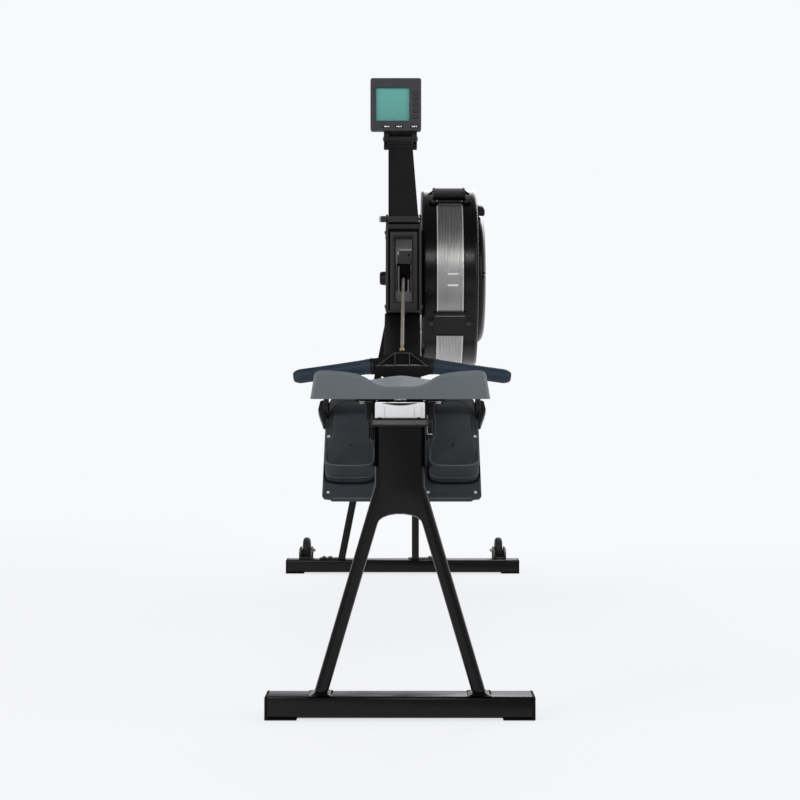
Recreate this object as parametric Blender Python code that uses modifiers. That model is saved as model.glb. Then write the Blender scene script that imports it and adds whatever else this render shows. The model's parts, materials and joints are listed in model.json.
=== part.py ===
"""Air rowing machine: rail, seat on rollers, handle and chain, footboards, flywheel and monitor.

Run with: blender --background --python part.py
Metres. X runs towards the flywheel, Y forwards along the rail, Z up. The origin is on the floor,
under the middle of the machine.
"""

import math

import bmesh
import bpy
from mathutils import Matrix, Vector

# Running and seating gaps
GAP = 0.0003
BORE_GAP = 0.0003

# Foot bars: closed at their ends by rubber feet
REAR_BAR_WIDTH = 0.402
FRONT_BAR_WIDTH = 0.610
BAR_HEIGHT = 0.0325
BAR_DEPTH = 0.058
BAR_WALL = 0.0025
BAR_CORNER = 0.005
PAD_THICKNESS = 0.003
PAD_LENGTH = 0.048
CAP_THICKNESS = 0.004

# Rail and its running track
RAIL_TOP = 0.471
RAIL_LENGTH = 1.36
RAIL_HEIGHT = 0.085
TRACK_WIDTH = 0.0738
TRACK_WALL = 0.0016
TRACK_LIP = 0.008
FLANGE_THICKNESS = 0.014
WEB_THICKNESS = 0.012
BASE_WIDTH = 0.060
BASE_THICKNESS = 0.008
END_CAP_HEIGHT = 0.0235
END_CAP_THICKNESS = 0.008

# Rear leg
LEG_PLATE = 0.006
LEG_DEPTH = 0.040
LEG_TUBE = 0.0200
LEG_WALL = 0.002
LEG_HEAD_WIDTH = 0.0744
LEG_SHOULDER_HEIGHT = 0.343
LEG_SPREAD = 0.2372
LEG_RAKE = math.radians(16.4)
ARCH_TOP = 0.305
ARCH_WIDTH = 0.060

# Sloping main beam
BEAM_WIDTH = 0.088
BEAM_DEPTH = 0.075
BEAM_WALL = 0.003
BEAM_ANGLE = math.radians(30)
BEAM_TAIL = 0.34
BEAM_BEND_GAP = 0.005

# Chain housing
BOX_X = 0.003
BOX_WIDTH = 0.089
BOX_HEIGHT = 0.221
BOX_BOTTOM = 0.672
BOX_LENGTH = 0.415
BOX_WALL = 0.003
BOX_OVERHANG = 0.020
WINDOW_WIDTH = 0.0475
WINDOW_HEIGHT = 0.166
WINDOW_SILL = 0.025
FRAME_BORDER = 0.0135
FRAME_RECESS = 0.0025

# Flywheel, its axle and its housing
AXLE_SETBACK = 0.355
AXLE_RISE = 0.1056
AXLE_RADIUS = 0.008
KNOB_RADIUS = 0.019
KNOB_LENGTH = 0.016
HOUSING_RADIUS = 0.2345
HOUSING_WALL = 0.003
INNER_FACE_X = 0.0485
INNER_RIM = 0.0395
SCREEN_WIDTH = 0.0685
OUTER_RIM = 0.0385
SHELL_ROUND = 0.026
HOUSING_FACETS = 40
SCREEN_WALL = 0.0015
SCREEN_SEAT = 0.0035
VANE_COUNT = 16
VANE_TIP = 0.200
VANE_THICKNESS = 0.004
VANE_WIDTH = 0.060
HUB_RADIUS = 0.045
INLET_RADIUS = 0.100
BRACKET_WALL = 0.005
BRACKET_WIDTH = 0.084
DAMPER_RADIUS = 0.150
DAMPER_PLATE = 0.0025
DOME_RADIUS = 0.169
DOME_HEIGHT = 0.018
DOME_WALL = 0.0025
LEVER_REACH = 0.188

# Sprocket, chain and shock cord
SPROCKET_RADIUS = 0.0147
SPROCKET_TEETH = 12
SPROCKET_WIDTH = 0.005
CHAIN_RADIUS = 0.0032
GUIDE_SETBACK = 0.055
GUIDE_PLATE = 0.003
GUIDE_WIDTH = 0.032
GUIDE_SLOT = 0.0095
GUIDE_LENGTH = 0.034
CORD_RADIUS = 0.004

# Handle, parked above the beam
HANDLE_AHEAD = 0.1657
HOOK_LIFT = 0.0335
HANDLE_WIDTH = 0.5022
HANDLE_DROP = math.radians(8.0)
CORE_RADIUS = 0.0095
GRIP_RADIUS = 0.0165
GRIP_SWELL = 0.0015
YOKE_WIDTH = 0.139
YOKE_DEPTH = 0.033
YOKE_LOW = 0.025
YOKE_TOP = 0.034
SWIVEL_RADIUS = 0.0055
SWIVEL_LENGTH = 0.016
HOOK_WIDTH = 0.040
HOOK_WALL = 0.008

# Footboards
BOARD_ANGLE = math.radians(42)
BOARD_LENGTH = 0.311
BOARD_WIDTH = 0.126
BOARD_THICKNESS = 0.006
BOARD_HEEL_BACK = 0.170
BOARD_HEEL_HEIGHT = 0.250
BOARD_CORNER = 0.012
SHOE_CENTRE = 0.112
SHOE_HEEL_WIDTH = 0.106
SHOE_TOE_WIDTH = 0.074
SHOE_LENGTH = 0.214
SHOE_SOLE = 0.005
SHOE_START = 0.0485
SHOE_HEEL_ROUND = 0.024
CUP_HEIGHT = 0.054
CUP_ARM = 0.030
CUP_WALL = 0.005
STRAP_WIDTH = 0.036
STRAP_THICKNESS = 0.003
STRAP_RISE = 0.052
STRAP_INSET = 0.020
STRAP_HALF_SPAN = 0.053
BUCKLE_HEIGHT = 0.050
BUCKLE_THICKNESS = 0.012

# Seat and its carriage
SEAT_BACK = 0.100
SEAT_WIDTH = 0.284
SEAT_LENGTH = 0.250
SEAT_BASE = 0.4752
# The rear edge's height over the base, from the middle (0) out to the side (1).
SEAT_REAR_EDGE = (
    (0.0, 0.0203),
    (0.17, 0.0205),
    (0.29, 0.0249),
    (0.40, 0.0347),
    (0.515, 0.0404),
    (0.70, 0.0431),
    (0.90, 0.0445),
    (1.0, 0.0430),
)
SEAT_POMMEL = 0.0370
ROLLER_RADIUS = 0.009
ROLLER_WIDTH = 0.012
ROLLER_SPREAD = 0.028
ROLLER_PITCH = 0.140
GUIDE_ROLLER_RADIUS = 0.008
GUIDE_ROLLER_WIDTH = 0.011
PIN_RADIUS = 0.003
CARRIAGE_LENGTH = 0.184
CARRIAGE_WALL = 0.003
CARRIAGE_SIDE_GAP = 0.0036
CARRIAGE_DROP = 0.060
CARRIAGE_FLANGE = 0.026

# Monitor and its arm
ARM_BASE_WIDTH = 0.074
ARM_TOP_WIDTH = 0.060
ARM_THICKNESS = 0.018
ARM_LENGTH = 0.200
ARM_EAR = 0.006
ARM_EAR_ROUND = 0.012
ARM_PIN_HEIGHT = 0.0135
ARM_TAIL = 0.006
ARM_SETBACK = 0.020
TILT_RADIUS = 0.010
SKIRT_SPREAD = 0.0113
SKIRT_TOP = 0.0135
SKIRT_HEIGHT = 0.0128
ARM_REST_GAP = 0.0125
ARM_REST_DEPTH = 0.016
ARM_REST_HEIGHT = 0.0092
MONITOR_X = -0.0162
MONITOR_WIDTH = 0.126
MONITOR_HEIGHT = 0.130
MONITOR_LIFT = 0.0075
MONITOR_DEPTH = 0.034
FRONT_DEPTH = 0.012
MONITOR_CORNER = 0.006
MONITOR_WALL = 0.0025
SCREEN_GLASS_WIDTH = 0.0833
SCREEN_GLASS_HEIGHT = 0.0823
SCREEN_X = -0.0240
SCREEN_SETTING = 0.106
BUTTON_TRAVEL = 0.0012
SIDE_BUTTON_SIZE = (0.0110, 0.0080)
SIDE_BUTTON_X = 0.0332
SIDE_BUTTON_TOP = 0.092
SIDE_BUTTON_PITCH = 0.0146
LOW_BUTTON_SIZE = (0.0190, 0.0075)
LOW_BUTTON_HEIGHT = 0.0097
LOW_BUTTON_PLACES = (-0.0388, -0.0083, 0.0296)

# Front legs and transport wheels
FRONT_LEG_WIDTH = 0.0185
FRONT_LEG_DEPTH = 0.040
FRONT_HEAD_HEIGHT = 0.045
LEFT_LEG_TOP_X = -0.0335
LEFT_LEG_FOOT_X = -0.1600
RIGHT_LEG_X = 0.0335
CASTER_INSET = 0.0502
CASTER_RADIUS = 0.034
CASTER_WIDTH = 0.020
CASTER_HEIGHT = 0.0525
CASTER_EAR = 0.004
CASTER_EAR_HALF = 0.0125
CASTER_EAR_ROUND = 0.010
CASTER_REACH = 0.040

# Heights that follow from the sizes above
BAR_TOP = PAD_THICKNESS + BAR_HEIGHT
RAIL_BOTTOM = RAIL_TOP - RAIL_HEIGHT
BEAM_TOP = RAIL_BOTTOM - GAP
BOX_TOP = BOX_BOTTOM + BOX_HEIGHT
AXLE_HEIGHT = BOX_BOTTOM + AXLE_RISE

# Places along the rail, measured from the rear foot bar's back
leg_back = (BAR_DEPTH - LEG_DEPTH) / 2 - LEG_PLATE
rail_start = leg_back + LEG_PLATE + GAP
rail_end = rail_start + RAIL_LENGTH
beam_bend = rail_end + BEAM_BEND_GAP
beam_crest = beam_bend + (BOX_BOTTOM - GAP - BEAM_TOP) / math.tan(BEAM_ANGLE)
box_back = beam_crest - BOX_OVERHANG
axle_place = box_back + AXLE_SETBACK
total_length = axle_place + HOUSING_RADIUS

# The origin is under the middle, so every place along the rail moves back by half the length
REAR = -total_length / 2
RAIL_START = REAR + rail_start
RAIL_END = REAR + rail_end
BEAM_BEND = REAR + beam_bend
BEAM_CREST = REAR + beam_crest
BOX_BACK = REAR + box_back
BOX_FRONT = BOX_BACK + BOX_LENGTH
AXLE_Y = REAR + axle_place
AXLE = Vector((0, AXLE_Y, AXLE_HEIGHT))
HANDLE_PLACE = RAIL_END + HANDLE_AHEAD
HANDLE_HEIGHT = BEAM_TOP + (HANDLE_PLACE - BEAM_BEND) * math.tan(BEAM_ANGLE) + HOOK_LIFT + YOKE_LOW + GAP
STRAP_PLACE = BOARD_LENGTH - STRAP_WIDTH - STRAP_INSET
OUTER_FACE_X = INNER_FACE_X + INNER_RIM + SCREEN_WIDTH + OUTER_RIM


def clear_scene():
    for obj in list(bpy.data.objects):
        bpy.data.objects.remove(obj, do_unlink=True)


clear_scene()
parts = bpy.data.collections.new("air_rowing_machine")
cutters = bpy.data.collections.new("cutters")
bpy.context.scene.collection.children.link(parts)
bpy.context.scene.collection.children.link(cutters)


def material(name, color, roughness, metallic=0.0):
    made = bpy.data.materials.get(name)
    if made is None:
        made = bpy.data.materials.new(name)
        made.use_nodes = True
        shader = made.node_tree.nodes["Principled BSDF"]
        shader.inputs["Base Color"].default_value = (*color, 1.0)
        shader.inputs["Roughness"].default_value = roughness
        shader.inputs["Metallic"].default_value = metallic
    return made


BLACK_STEEL = ("black_steel", (0.012, 0.012, 0.013), 0.45)
BLACK_PLASTIC = ("black_plastic", (0.018, 0.018, 0.020), 0.38)
GLOSS_BLACK = ("gloss_black", (0.010, 0.010, 0.012), 0.18)
BRIGHT_TRACK = ("bright_track", (0.72, 0.73, 0.74), 0.28, 1.0)
ALUMINIUM = ("rail_aluminium", (0.62, 0.63, 0.65), 0.40, 1.0)
PALE_PLASTIC = ("pale_plastic", (0.80, 0.81, 0.82), 0.45)
RUBBER = ("rubber", (0.015, 0.015, 0.016), 0.85)
SEAT_GREY = ("seat_grey", (0.130, 0.150, 0.168), 0.60)
GRIP_BLUE = ("grip_blue", (0.020, 0.045, 0.080), 0.65)
BRASS = ("brass", (0.72, 0.55, 0.30), 0.30, 1.0)
CHAIN_STEEL = ("chain_steel", (0.50, 0.49, 0.44), 0.35, 1.0)
SLATE_PLASTIC = ("slate_plastic", (0.034, 0.042, 0.050), 0.55)
STRAP_WEBBING = ("strap_webbing", (0.012, 0.012, 0.014), 0.90)
CASE_GREY = ("case_grey", (0.036, 0.037, 0.042), 0.45)
DISPLAY_TEAL = ("display_teal", (0.090, 0.360, 0.320), 0.25)
SCREEN_STEEL = ("screen_steel", (0.55, 0.56, 0.58), 0.30, 1.0)


def finish(obj, look, smooth=35):
    """Puts a piece in the collection of parts with its own material, smooth up to this angle."""
    for holder in list(obj.users_collection):
        holder.objects.unlink(obj)
    parts.objects.link(obj)
    obj.data.materials.clear()
    obj.data.materials.append(material(obj.name + "_" + look[0], *look[1:]))
    obj.data.shade_smooth()
    obj.data.set_sharp_from_angle(angle=math.radians(smooth))
    return obj


def as_cutter(obj):
    for holder in list(obj.users_collection):
        holder.objects.unlink(obj)
    cutters.objects.link(obj)
    obj.hide_render = True
    obj.display_type = "WIRE"
    return obj


def new_object(name, mesh):
    obj = bpy.data.objects.new(name, mesh)
    bpy.context.scene.collection.objects.link(obj)
    return obj


def block(name, low, high):
    """A box between two corners, with its origin at its middle."""
    low, high = Vector(low), Vector(high)
    mesh = bpy.data.meshes.new(name)
    shape = bmesh.new()
    bmesh.ops.create_cube(shape, size=1.0)
    bmesh.ops.scale(shape, vec=high - low, verts=shape.verts)
    shape.to_mesh(mesh)
    shape.free()
    obj = new_object(name, mesh)
    obj.location = (low + high) / 2
    return obj


def rod(name, radius, start, end, segments=24):
    """A round bar between two points."""
    start, end = Vector(start), Vector(end)
    mesh = bpy.data.meshes.new(name)
    shape = bmesh.new()
    bmesh.ops.create_cone(
        shape,
        cap_ends=True,
        segments=segments,
        radius1=radius,
        radius2=radius,
        depth=(end - start).length,
    )
    shape.to_mesh(mesh)
    shape.free()
    obj = new_object(name, mesh)
    obj.rotation_mode = "QUATERNION"
    obj.rotation_quaternion = (end - start).to_track_quat("Z", "Y")
    obj.location = (start + end) / 2
    return obj


def mesh_from_curve(obj):
    """The curve's mesh with its caps welded on, in place of the curve."""
    bpy.context.view_layer.update()
    graph = bpy.context.evaluated_depsgraph_get()
    mesh = bpy.data.meshes.new_from_object(obj.evaluated_get(graph))
    shape = bmesh.new()
    shape.from_mesh(mesh)
    bmesh.ops.remove_doubles(shape, verts=shape.verts, dist=1e-6)
    shape.to_mesh(mesh)
    shape.free()
    name, matrix = obj.name, obj.matrix_world.copy()
    bpy.data.objects.remove(obj, do_unlink=True)
    made = new_object(name, mesh)
    made.matrix_world = matrix
    return made


# Outlines lie in a plane: along "x" they are (y, z), along "y" (x, z), along "z" (x, y).
TURNS = {
    "x": Matrix(((0, 0, 1), (1, 0, 0), (0, 1, 0))),
    "y": Matrix(((1, 0, 0), (0, 0, -1), (0, 1, 0))),
    "z": Matrix.Identity(3),
}


def extruded(name, outlines, start, end, axis):
    """A flat outline, with any holes after it, drawn out along an axis from start to end."""
    curve = bpy.data.curves.new(name, "CURVE")
    curve.dimensions = "2D"
    curve.fill_mode = "BOTH"
    curve.extrude = abs(end - start) / 2
    for outline in outlines:
        spline = curve.splines.new("POLY")
        spline.points.add(len(outline) - 1)
        for point, (u, v) in zip(spline.points, outline):
            point.co = (u, v, 0, 1)
        spline.use_cyclic_u = True
    obj = new_object(name, curve)
    middle = (start + end) / 2
    place = Vector([middle if axis == letter else 0 for letter in "xyz"])
    obj.matrix_world = Matrix.Translation(place) @ TURNS[axis].to_4x4()
    return mesh_from_curve(obj)


def turned(name, profile, centre, closed=False, steps=HOUSING_FACETS, axis="x"):
    """A profile of (place along the axis, radius) turned round an axis through centre."""
    points = [(radius, along) for along, radius in profile]
    following = points[1:] + points[:1]
    area = sum(a[0] * b[1] - b[0] * a[1] for a, b in zip(points, following))
    if area > 0:
        points.reverse()
    mesh = bpy.data.meshes.new(name)
    shape = bmesh.new()
    made = [shape.verts.new((radius, 0, along)) for radius, along in points]
    for a, b in zip(made, made[1:]):
        shape.edges.new((a, b))
    if closed:
        shape.edges.new((made[-1], made[0]))
    shape.to_mesh(mesh)
    shape.free()
    obj = new_object(name, mesh)
    obj.location = centre
    if axis == "x":
        obj.rotation_euler = (0, math.pi / 2, 0)
    elif axis == "y":
        obj.rotation_euler = (-math.pi / 2, 0, 0)
    screw = obj.modifiers.new("turn", "SCREW")
    screw.steps = steps
    screw.render_steps = steps
    screw.use_merge_vertices = True
    screw.merge_threshold = 1e-5
    return obj


def tube(name, points, radius, sides=2):
    """A round bar along straight stretches between points."""
    curve = bpy.data.curves.new(name, "CURVE")
    curve.dimensions = "3D"
    curve.bevel_depth = radius
    curve.bevel_resolution = sides
    curve.use_fill_caps = True
    spline = curve.splines.new("POLY")
    spline.points.add(len(points) - 1)
    for point, place in zip(spline.points, points):
        point.co = (*place, 1)
    return mesh_from_curve(new_object(name, curve))


def combine(obj, other, operation):
    modifier = obj.modifiers.new(other.name, "BOOLEAN")
    modifier.operation = operation
    modifier.object = as_cutter(other)
    return obj


def cut(obj, *tools):
    for tool in tools:
        combine(obj, tool, "DIFFERENCE")
    return obj


def join(obj, *others):
    for other in others:
        combine(obj, other, "UNION")
    return obj


def bevel(obj, width, segments=2, angle=40):
    modifier = obj.modifiers.new("edges", "BEVEL")
    modifier.width = width
    modifier.segments = segments
    modifier.limit_method = "ANGLE"
    modifier.angle_limit = math.radians(angle)
    return obj


def arc(centre, radius, start, end, count):
    """Points on an arc, with its angles in degrees."""
    angles = [math.radians(start + (end - start) * i / count) for i in range(count + 1)]
    return [(centre[0] + radius * math.cos(a), centre[1] + radius * math.sin(a)) for a in angles]


def rounded(low, high, radius, count=3):
    """A rectangle's outline with round corners."""
    (x0, y0), (x1, y1) = low, high
    corners = (
        ((x1 - radius, y0 + radius), -90),
        ((x1 - radius, y1 - radius), 0),
        ((x0 + radius, y1 - radius), 90),
        ((x0 + radius, y0 + radius), 180),
    )
    return [p for centre, start in corners for p in arc(centre, radius, start, start + 90, count)]


def pivot(name, place):
    """An empty on a joint's axis, which its pieces are parented to."""
    empty = bpy.data.objects.new(name, None)
    parts.objects.link(empty)
    empty.location = place
    empty.empty_display_size = 0.02
    bpy.context.view_layer.update()
    return empty


def carry(empty, *objects):
    bpy.context.view_layer.update()
    for obj in objects:
        obj.parent = empty
        obj.matrix_parent_inverse = empty.matrix_world.inverted()


def mirrored(points, side):
    """The right-hand outline, or its mirror image with its order kept turning the same way."""
    return points if side > 0 else [(-x, y) for x, y in reversed(points)]


def foot_bar(name, width, back):
    """A hollow bar across the machine, on its two rubber feet."""
    half = width / 2 - CAP_THICKNESS - GAP
    low = (back, PAD_THICKNESS)
    high = (back + BAR_DEPTH, BAR_TOP)
    inner_low = (low[0] + BAR_WALL, low[1] + BAR_WALL)
    inner_high = (high[0] - BAR_WALL, high[1] - BAR_WALL)
    outlines = [rounded(low, high, BAR_CORNER), rounded(inner_low, inner_high, BAR_CORNER / 2)]
    finish(extruded(name, outlines, -half, half, "x"), BLACK_STEEL)
    for side, word in ((-1, "left"), (1, "right")):
        foot(f"{name.replace('_bar', '')}_{word}", side * width / 2, -side, back)


def foot(name, end, inwards, back):
    """A rubber foot: the bar's end cap and the pad under it, in one moulding."""
    pad_top, chamfer = PAD_THICKNESS - GAP, 0.0015
    side = [
        (0, 0),
        (PAD_LENGTH, 0),
        (PAD_LENGTH, pad_top),
        (CAP_THICKNESS, pad_top),
        (CAP_THICKNESS, BAR_TOP),
        (chamfer, BAR_TOP),
        (0, BAR_TOP - chamfer),
    ]
    outline = [(end + inwards * u, z) for u, z in side]
    finish(extruded(name, [outline], back, back + BAR_DEPTH, "y"), RUBBER)


def rail():
    half = TRACK_WIDTH / 2 - TRACK_WALL - GAP
    top = RAIL_TOP - TRACK_WALL - GAP
    under = top - FLANGE_THICKNESS
    web, base, floor = WEB_THICKNESS / 2, BASE_WIDTH / 2, RAIL_BOTTOM
    right = [
        (base, floor),
        (base, floor + BASE_THICKNESS),
        (web, floor + BASE_THICKNESS),
        (web, under),
        (half, under),
        (half, top),
    ]
    outline = right + [(-x, z) for x, z in reversed(right)]
    finish(extruded("rail", [outline], RAIL_START, RAIL_END, "y"), ALUMINIUM)

    edge, lip = TRACK_WIDTH / 2, RAIL_TOP - TRACK_LIP
    outer = [(edge, lip), (edge, RAIL_TOP)]
    inner = [(edge - TRACK_WALL, RAIL_TOP - TRACK_WALL), (edge - TRACK_WALL, lip)]
    track = outer + [(-x, z) for x, z in reversed(outer)] + [(-x, z) for x, z in reversed(inner)] + inner
    finish(extruded("rail_track", [track], RAIL_START, RAIL_END, "y"), BRIGHT_TRACK)

    cap = block(
        "rail_end_cap",
        (-edge, RAIL_START - GAP - END_CAP_THICKNESS, RAIL_TOP - END_CAP_HEIGHT),
        (edge, RAIL_START - GAP, RAIL_TOP),
    )
    finish(bevel(cap, 0.0015), PALE_PLASTIC)


def rear_leg():
    """The post that closes the rail's end, over two raked tubes with an arch between them."""
    back = REAR + leg_back
    front = back + LEG_PLATE + LEG_DEPTH
    head = LEG_HEAD_WIDTH / 2
    foot_z = BAR_TOP + GAP
    slope = math.tan(LEG_RAKE)
    half_tube = LEG_TUBE / 2 / math.cos(LEG_RAKE)

    def middle(z):
        return LEG_SPREAD / 2 - slope * (z - foot_z)

    shoulder = foot_z + (LEG_SPREAD / 2 + half_tube - head) / slope
    spring = ARCH_TOP - ARCH_WIDTH / 4
    strip_top = RAIL_TOP - END_CAP_HEIGHT - GAP
    right = [
        (middle(spring) - half_tube, spring),
        (middle(foot_z) - half_tube, foot_z),
        (middle(foot_z) + half_tube, foot_z),
        (head, shoulder),
        (head, strip_top),
    ]
    wide, rise = middle(spring) - half_tube, ARCH_TOP - spring
    arch = [
        (wide * math.cos(math.radians(a)), spring + rise * math.sin(math.radians(a)))
        for a in range(160, 0, -20)
    ]
    outline = right + [(-x, z) for x, z in reversed(right)] + arch
    leg = extruded("rear_leg", [outline], back, front, "y")
    for side in (-1, 1):
        wall = half_tube - LEG_WALL
        low, high = foot_z - 0.01, spring - 0.02
        hollow = [
            (middle(low) - wall, low),
            (middle(low) + wall, low),
            (middle(high) + wall, high),
            (middle(high) - wall, high),
        ]
        hollow = mirrored(hollow, side)
        tool = extruded(f"leg_hollow_{side}", [hollow], back + LEG_PLATE, front - LEG_WALL, "y")
        cut(leg, tool)
    notch = block("leg_notch", (-0.1, RAIL_START - GAP, RAIL_BOTTOM - GAP), (0.1, front + 0.1, 0.6))
    finish(cut(leg, notch), BLACK_STEEL)


def beam_outline(inset=0.0, spill=0.0):
    """The main beam's side, seen along X: level under the rail, then rising to the chain housing."""
    rise = math.tan(BEAM_ANGLE)
    depth = BEAM_DEPTH - 2 * inset
    top = BEAM_TOP - inset
    tail = RAIL_END - BEAM_TAIL - spill
    crest = BOX_BOTTOM - GAP + spill
    bend = BEAM_BEND + inset * math.tan(BEAM_ANGLE / 2)
    low_bend = bend + depth * math.tan(BEAM_ANGLE / 2)
    across = depth / math.sin(BEAM_ANGLE)
    crest_y = bend + (crest - top) / rise
    return [
        (tail, top),
        (tail, top - depth),
        (low_bend, top - depth),
        (crest_y + across, crest),
        (crest_y, crest),
        (bend, top),
    ]


def beam_height(y):
    """The height of the beam's upper face where it slopes."""
    return BEAM_TOP + (y - BEAM_BEND) * math.tan(BEAM_ANGLE)


def main_beam():
    half = BEAM_WIDTH / 2
    beam = extruded("main_beam", [beam_outline()], -half, half, "x")
    inside = half - BEAM_WALL
    hollow = extruded("beam_hollow", [beam_outline(BEAM_WALL, 0.01)], -inside, inside, "x")
    finish(cut(beam, hollow), BLACK_STEEL)


def chain_housing():
    """A hollow box with a window to the rear, two ears for the monitor arm and bores for the axle."""
    left, right = BOX_X - BOX_WIDTH / 2, BOX_X + BOX_WIDTH / 2
    box = block("chain_housing", (left, BOX_BACK, BOX_BOTTOM), (right, BOX_FRONT, BOX_TOP))
    bevel(box, 0.004)
    ears = []
    pin_y, pin_z = arm_pivot_place()
    ear_back = pin_y - ARM_EAR_ROUND
    for side, edge in ((-1, left), (1, right)):
        near, far = sorted((edge, edge - side * ARM_EAR))
        ear = [
            (ear_back, BOX_TOP - 0.01),
            (ear_back + 2 * ARM_EAR_ROUND, BOX_TOP - 0.01),
            *arc((pin_y, pin_z), ARM_EAR_ROUND, 0, 180, 6),
        ]
        ears.append(extruded(f"arm_ear_{side}", [ear], near + 0.0004, far - 0.0004, "x"))
    rest = block(
        "arm_rest",
        (left + ARM_EAR - 0.001, pin_y + ARM_REST_GAP, BOX_TOP - 0.0015),
        (right - ARM_EAR + 0.001, pin_y + ARM_REST_GAP + ARM_REST_DEPTH, BOX_TOP + ARM_REST_HEIGHT),
    )
    join(box, *ears, bevel(rest, 0.0015, 1))
    wall = BOX_WALL
    hollow = block(
        "box_hollow",
        (left + wall, BOX_BACK + wall + FRAME_RECESS, BOX_BOTTOM + wall),
        (right - wall, BOX_FRONT - wall, BOX_TOP - wall),
    )
    sill = BOX_BOTTOM + WINDOW_SILL
    window = block(
        "box_window",
        (BOX_X - WINDOW_WIDTH / 2, BOX_BACK - 0.01, sill),
        (BOX_X + WINDOW_WIDTH / 2, BOX_BACK + 0.02, sill + WINDOW_HEIGHT),
    )
    border = FRAME_BORDER
    recess = extruded(
        "box_recess",
        [
            rounded((left + 0.006, sill - border - 0.004), (right - 0.006, BOX_TOP - 0.006), 0.003, 2),
            rounded(
                (BOX_X - WINDOW_WIDTH / 2 - border, sill - border),
                (BOX_X + WINDOW_WIDTH / 2 + border, sill + WINDOW_HEIGHT + border / 2),
                0.003,
                2,
            ),
        ],
        BOX_BACK - 0.01,
        BOX_BACK + FRAME_RECESS,
        "y",
    )
    far_left, far_right = left - 0.02, right + 0.02
    axle_ends = (far_left, AXLE_Y, AXLE_HEIGHT), (far_right, AXLE_Y, AXLE_HEIGHT)
    bore = rod("axle_bore", AXLE_RADIUS + BORE_GAP, *axle_ends)
    pin = rod("pin_bore", PIN_RADIUS + BORE_GAP, (far_left, pin_y, pin_z), (far_right, pin_y, pin_z), 16)
    cord_hole = block(
        "cord_hole",
        (BOX_X - 0.012, BEAM_CREST + 0.02, BOX_BOTTOM - 0.01),
        (BOX_X + 0.012, BEAM_CREST + 0.06, BOX_BOTTOM + wall * 2),
    )
    finish(cut(box, hollow, window, recess, bore, pin, cord_hole), BLACK_PLASTIC)


def chain_guide():
    """A back plate across the housing with the forked guide that the chain runs through."""
    left = BOX_X - BOX_WIDTH / 2 + BOX_WALL + GAP
    right = BOX_X + BOX_WIDTH / 2 - BOX_WALL - GAP
    back = BOX_BACK + GUIDE_SETBACK
    low = BOX_BOTTOM + BOX_WALL + GAP
    plate = block("chain_guide", (left, back, low), (right, back + GUIDE_PLATE, BOX_TOP - BOX_WALL - GAP))
    half = GUIDE_WIDTH / 2
    chain_z = chain_level()
    fork = block(
        "guide_fork",
        (BOX_X - half, back - GUIDE_LENGTH, chain_z - 0.030),
        (BOX_X + half, back + 0.001, chain_z + 0.036),
    )
    slot = block(
        "guide_slot",
        (BOX_X - GUIDE_SLOT / 2, back - GUIDE_LENGTH - 0.01, chain_z - 0.05),
        (BOX_X + GUIDE_SLOT / 2, back + 0.01, chain_z + CHAIN_RADIUS + 0.004),
    )
    finish(cut(join(plate, fork), slot), BLACK_PLASTIC)


def chain_level():
    """The chain runs level under the sprocket, just clear of its teeth."""
    return AXLE_HEIGHT - SPROCKET_RADIUS - GAP - CHAIN_RADIUS


def swivel_base():
    return HANDLE_HEIGHT + YOKE_TOP


def chain():
    """The taut run from the sprocket through the guide and down to the handle's swivel."""
    level = chain_level()
    guide_y = BOX_BACK + 0.030
    start = Vector((BOX_X, guide_y, level))
    end = Vector((0, HANDLE_PLACE, swivel_base() + SWIVEL_LENGTH + 2 * GAP))
    points = [(BOX_X, AXLE_Y, level), start, end]
    finish(tube("chain", points, CHAIN_RADIUS, 1), CHAIN_STEEL)


def shock_cord():
    """The elastic cord that takes the chain back, along the inside of the beam."""
    rise = math.tan(BEAM_ANGLE)
    drop = BEAM_DEPTH / 2 / math.cos(BEAM_ANGLE)
    low_y = BEAM_BEND + 0.03
    high_y = BOX_BACK + GUIDE_SETBACK + GUIDE_PLATE + GAP + CORD_RADIUS
    bend_z = BEAM_TOP - BEAM_DEPTH / 2
    points = [
        (BOX_X, RAIL_END - BEAM_TAIL + 0.02, bend_z),
        (BOX_X, BEAM_BEND, bend_z),
        (BOX_X, low_y, bend_z + 0.008),
        (BOX_X, high_y, BEAM_TOP + (high_y - BEAM_BEND) * rise - drop * 1.1),
        (BOX_X, high_y, BOX_BOTTOM + 0.02),
    ]
    finish(tube("shock_cord", points, CORD_RADIUS, 1), RUBBER)


def sprocket():
    """Cut teeth round a bore that runs freely on the flywheel's axle."""
    outline = []
    for tooth in range(SPROCKET_TEETH):
        for share, radius in ((0.0, 0.80), (0.25, 0.80), (0.42, 1.0), (0.58, 1.0), (0.75, 0.80)):
            angle = 2 * math.pi * (tooth + share + 0.5) / SPROCKET_TEETH
            reach = SPROCKET_RADIUS * radius
            outline.append((AXLE_Y + reach * math.cos(angle), AXLE_HEIGHT + reach * math.sin(angle)))
    bore = arc((AXLE_Y, AXLE_HEIGHT), AXLE_RADIUS + BORE_GAP, 0, 345, 23)
    half = SPROCKET_WIDTH / 2
    body = extruded("sprocket", [outline, bore], BOX_X - half, BOX_X + half, "x")
    finish(body, CHAIN_STEEL)
    carry(pivot("sprocket_pivot", (BOX_X, AXLE_Y, AXLE_HEIGHT)), body)


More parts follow.
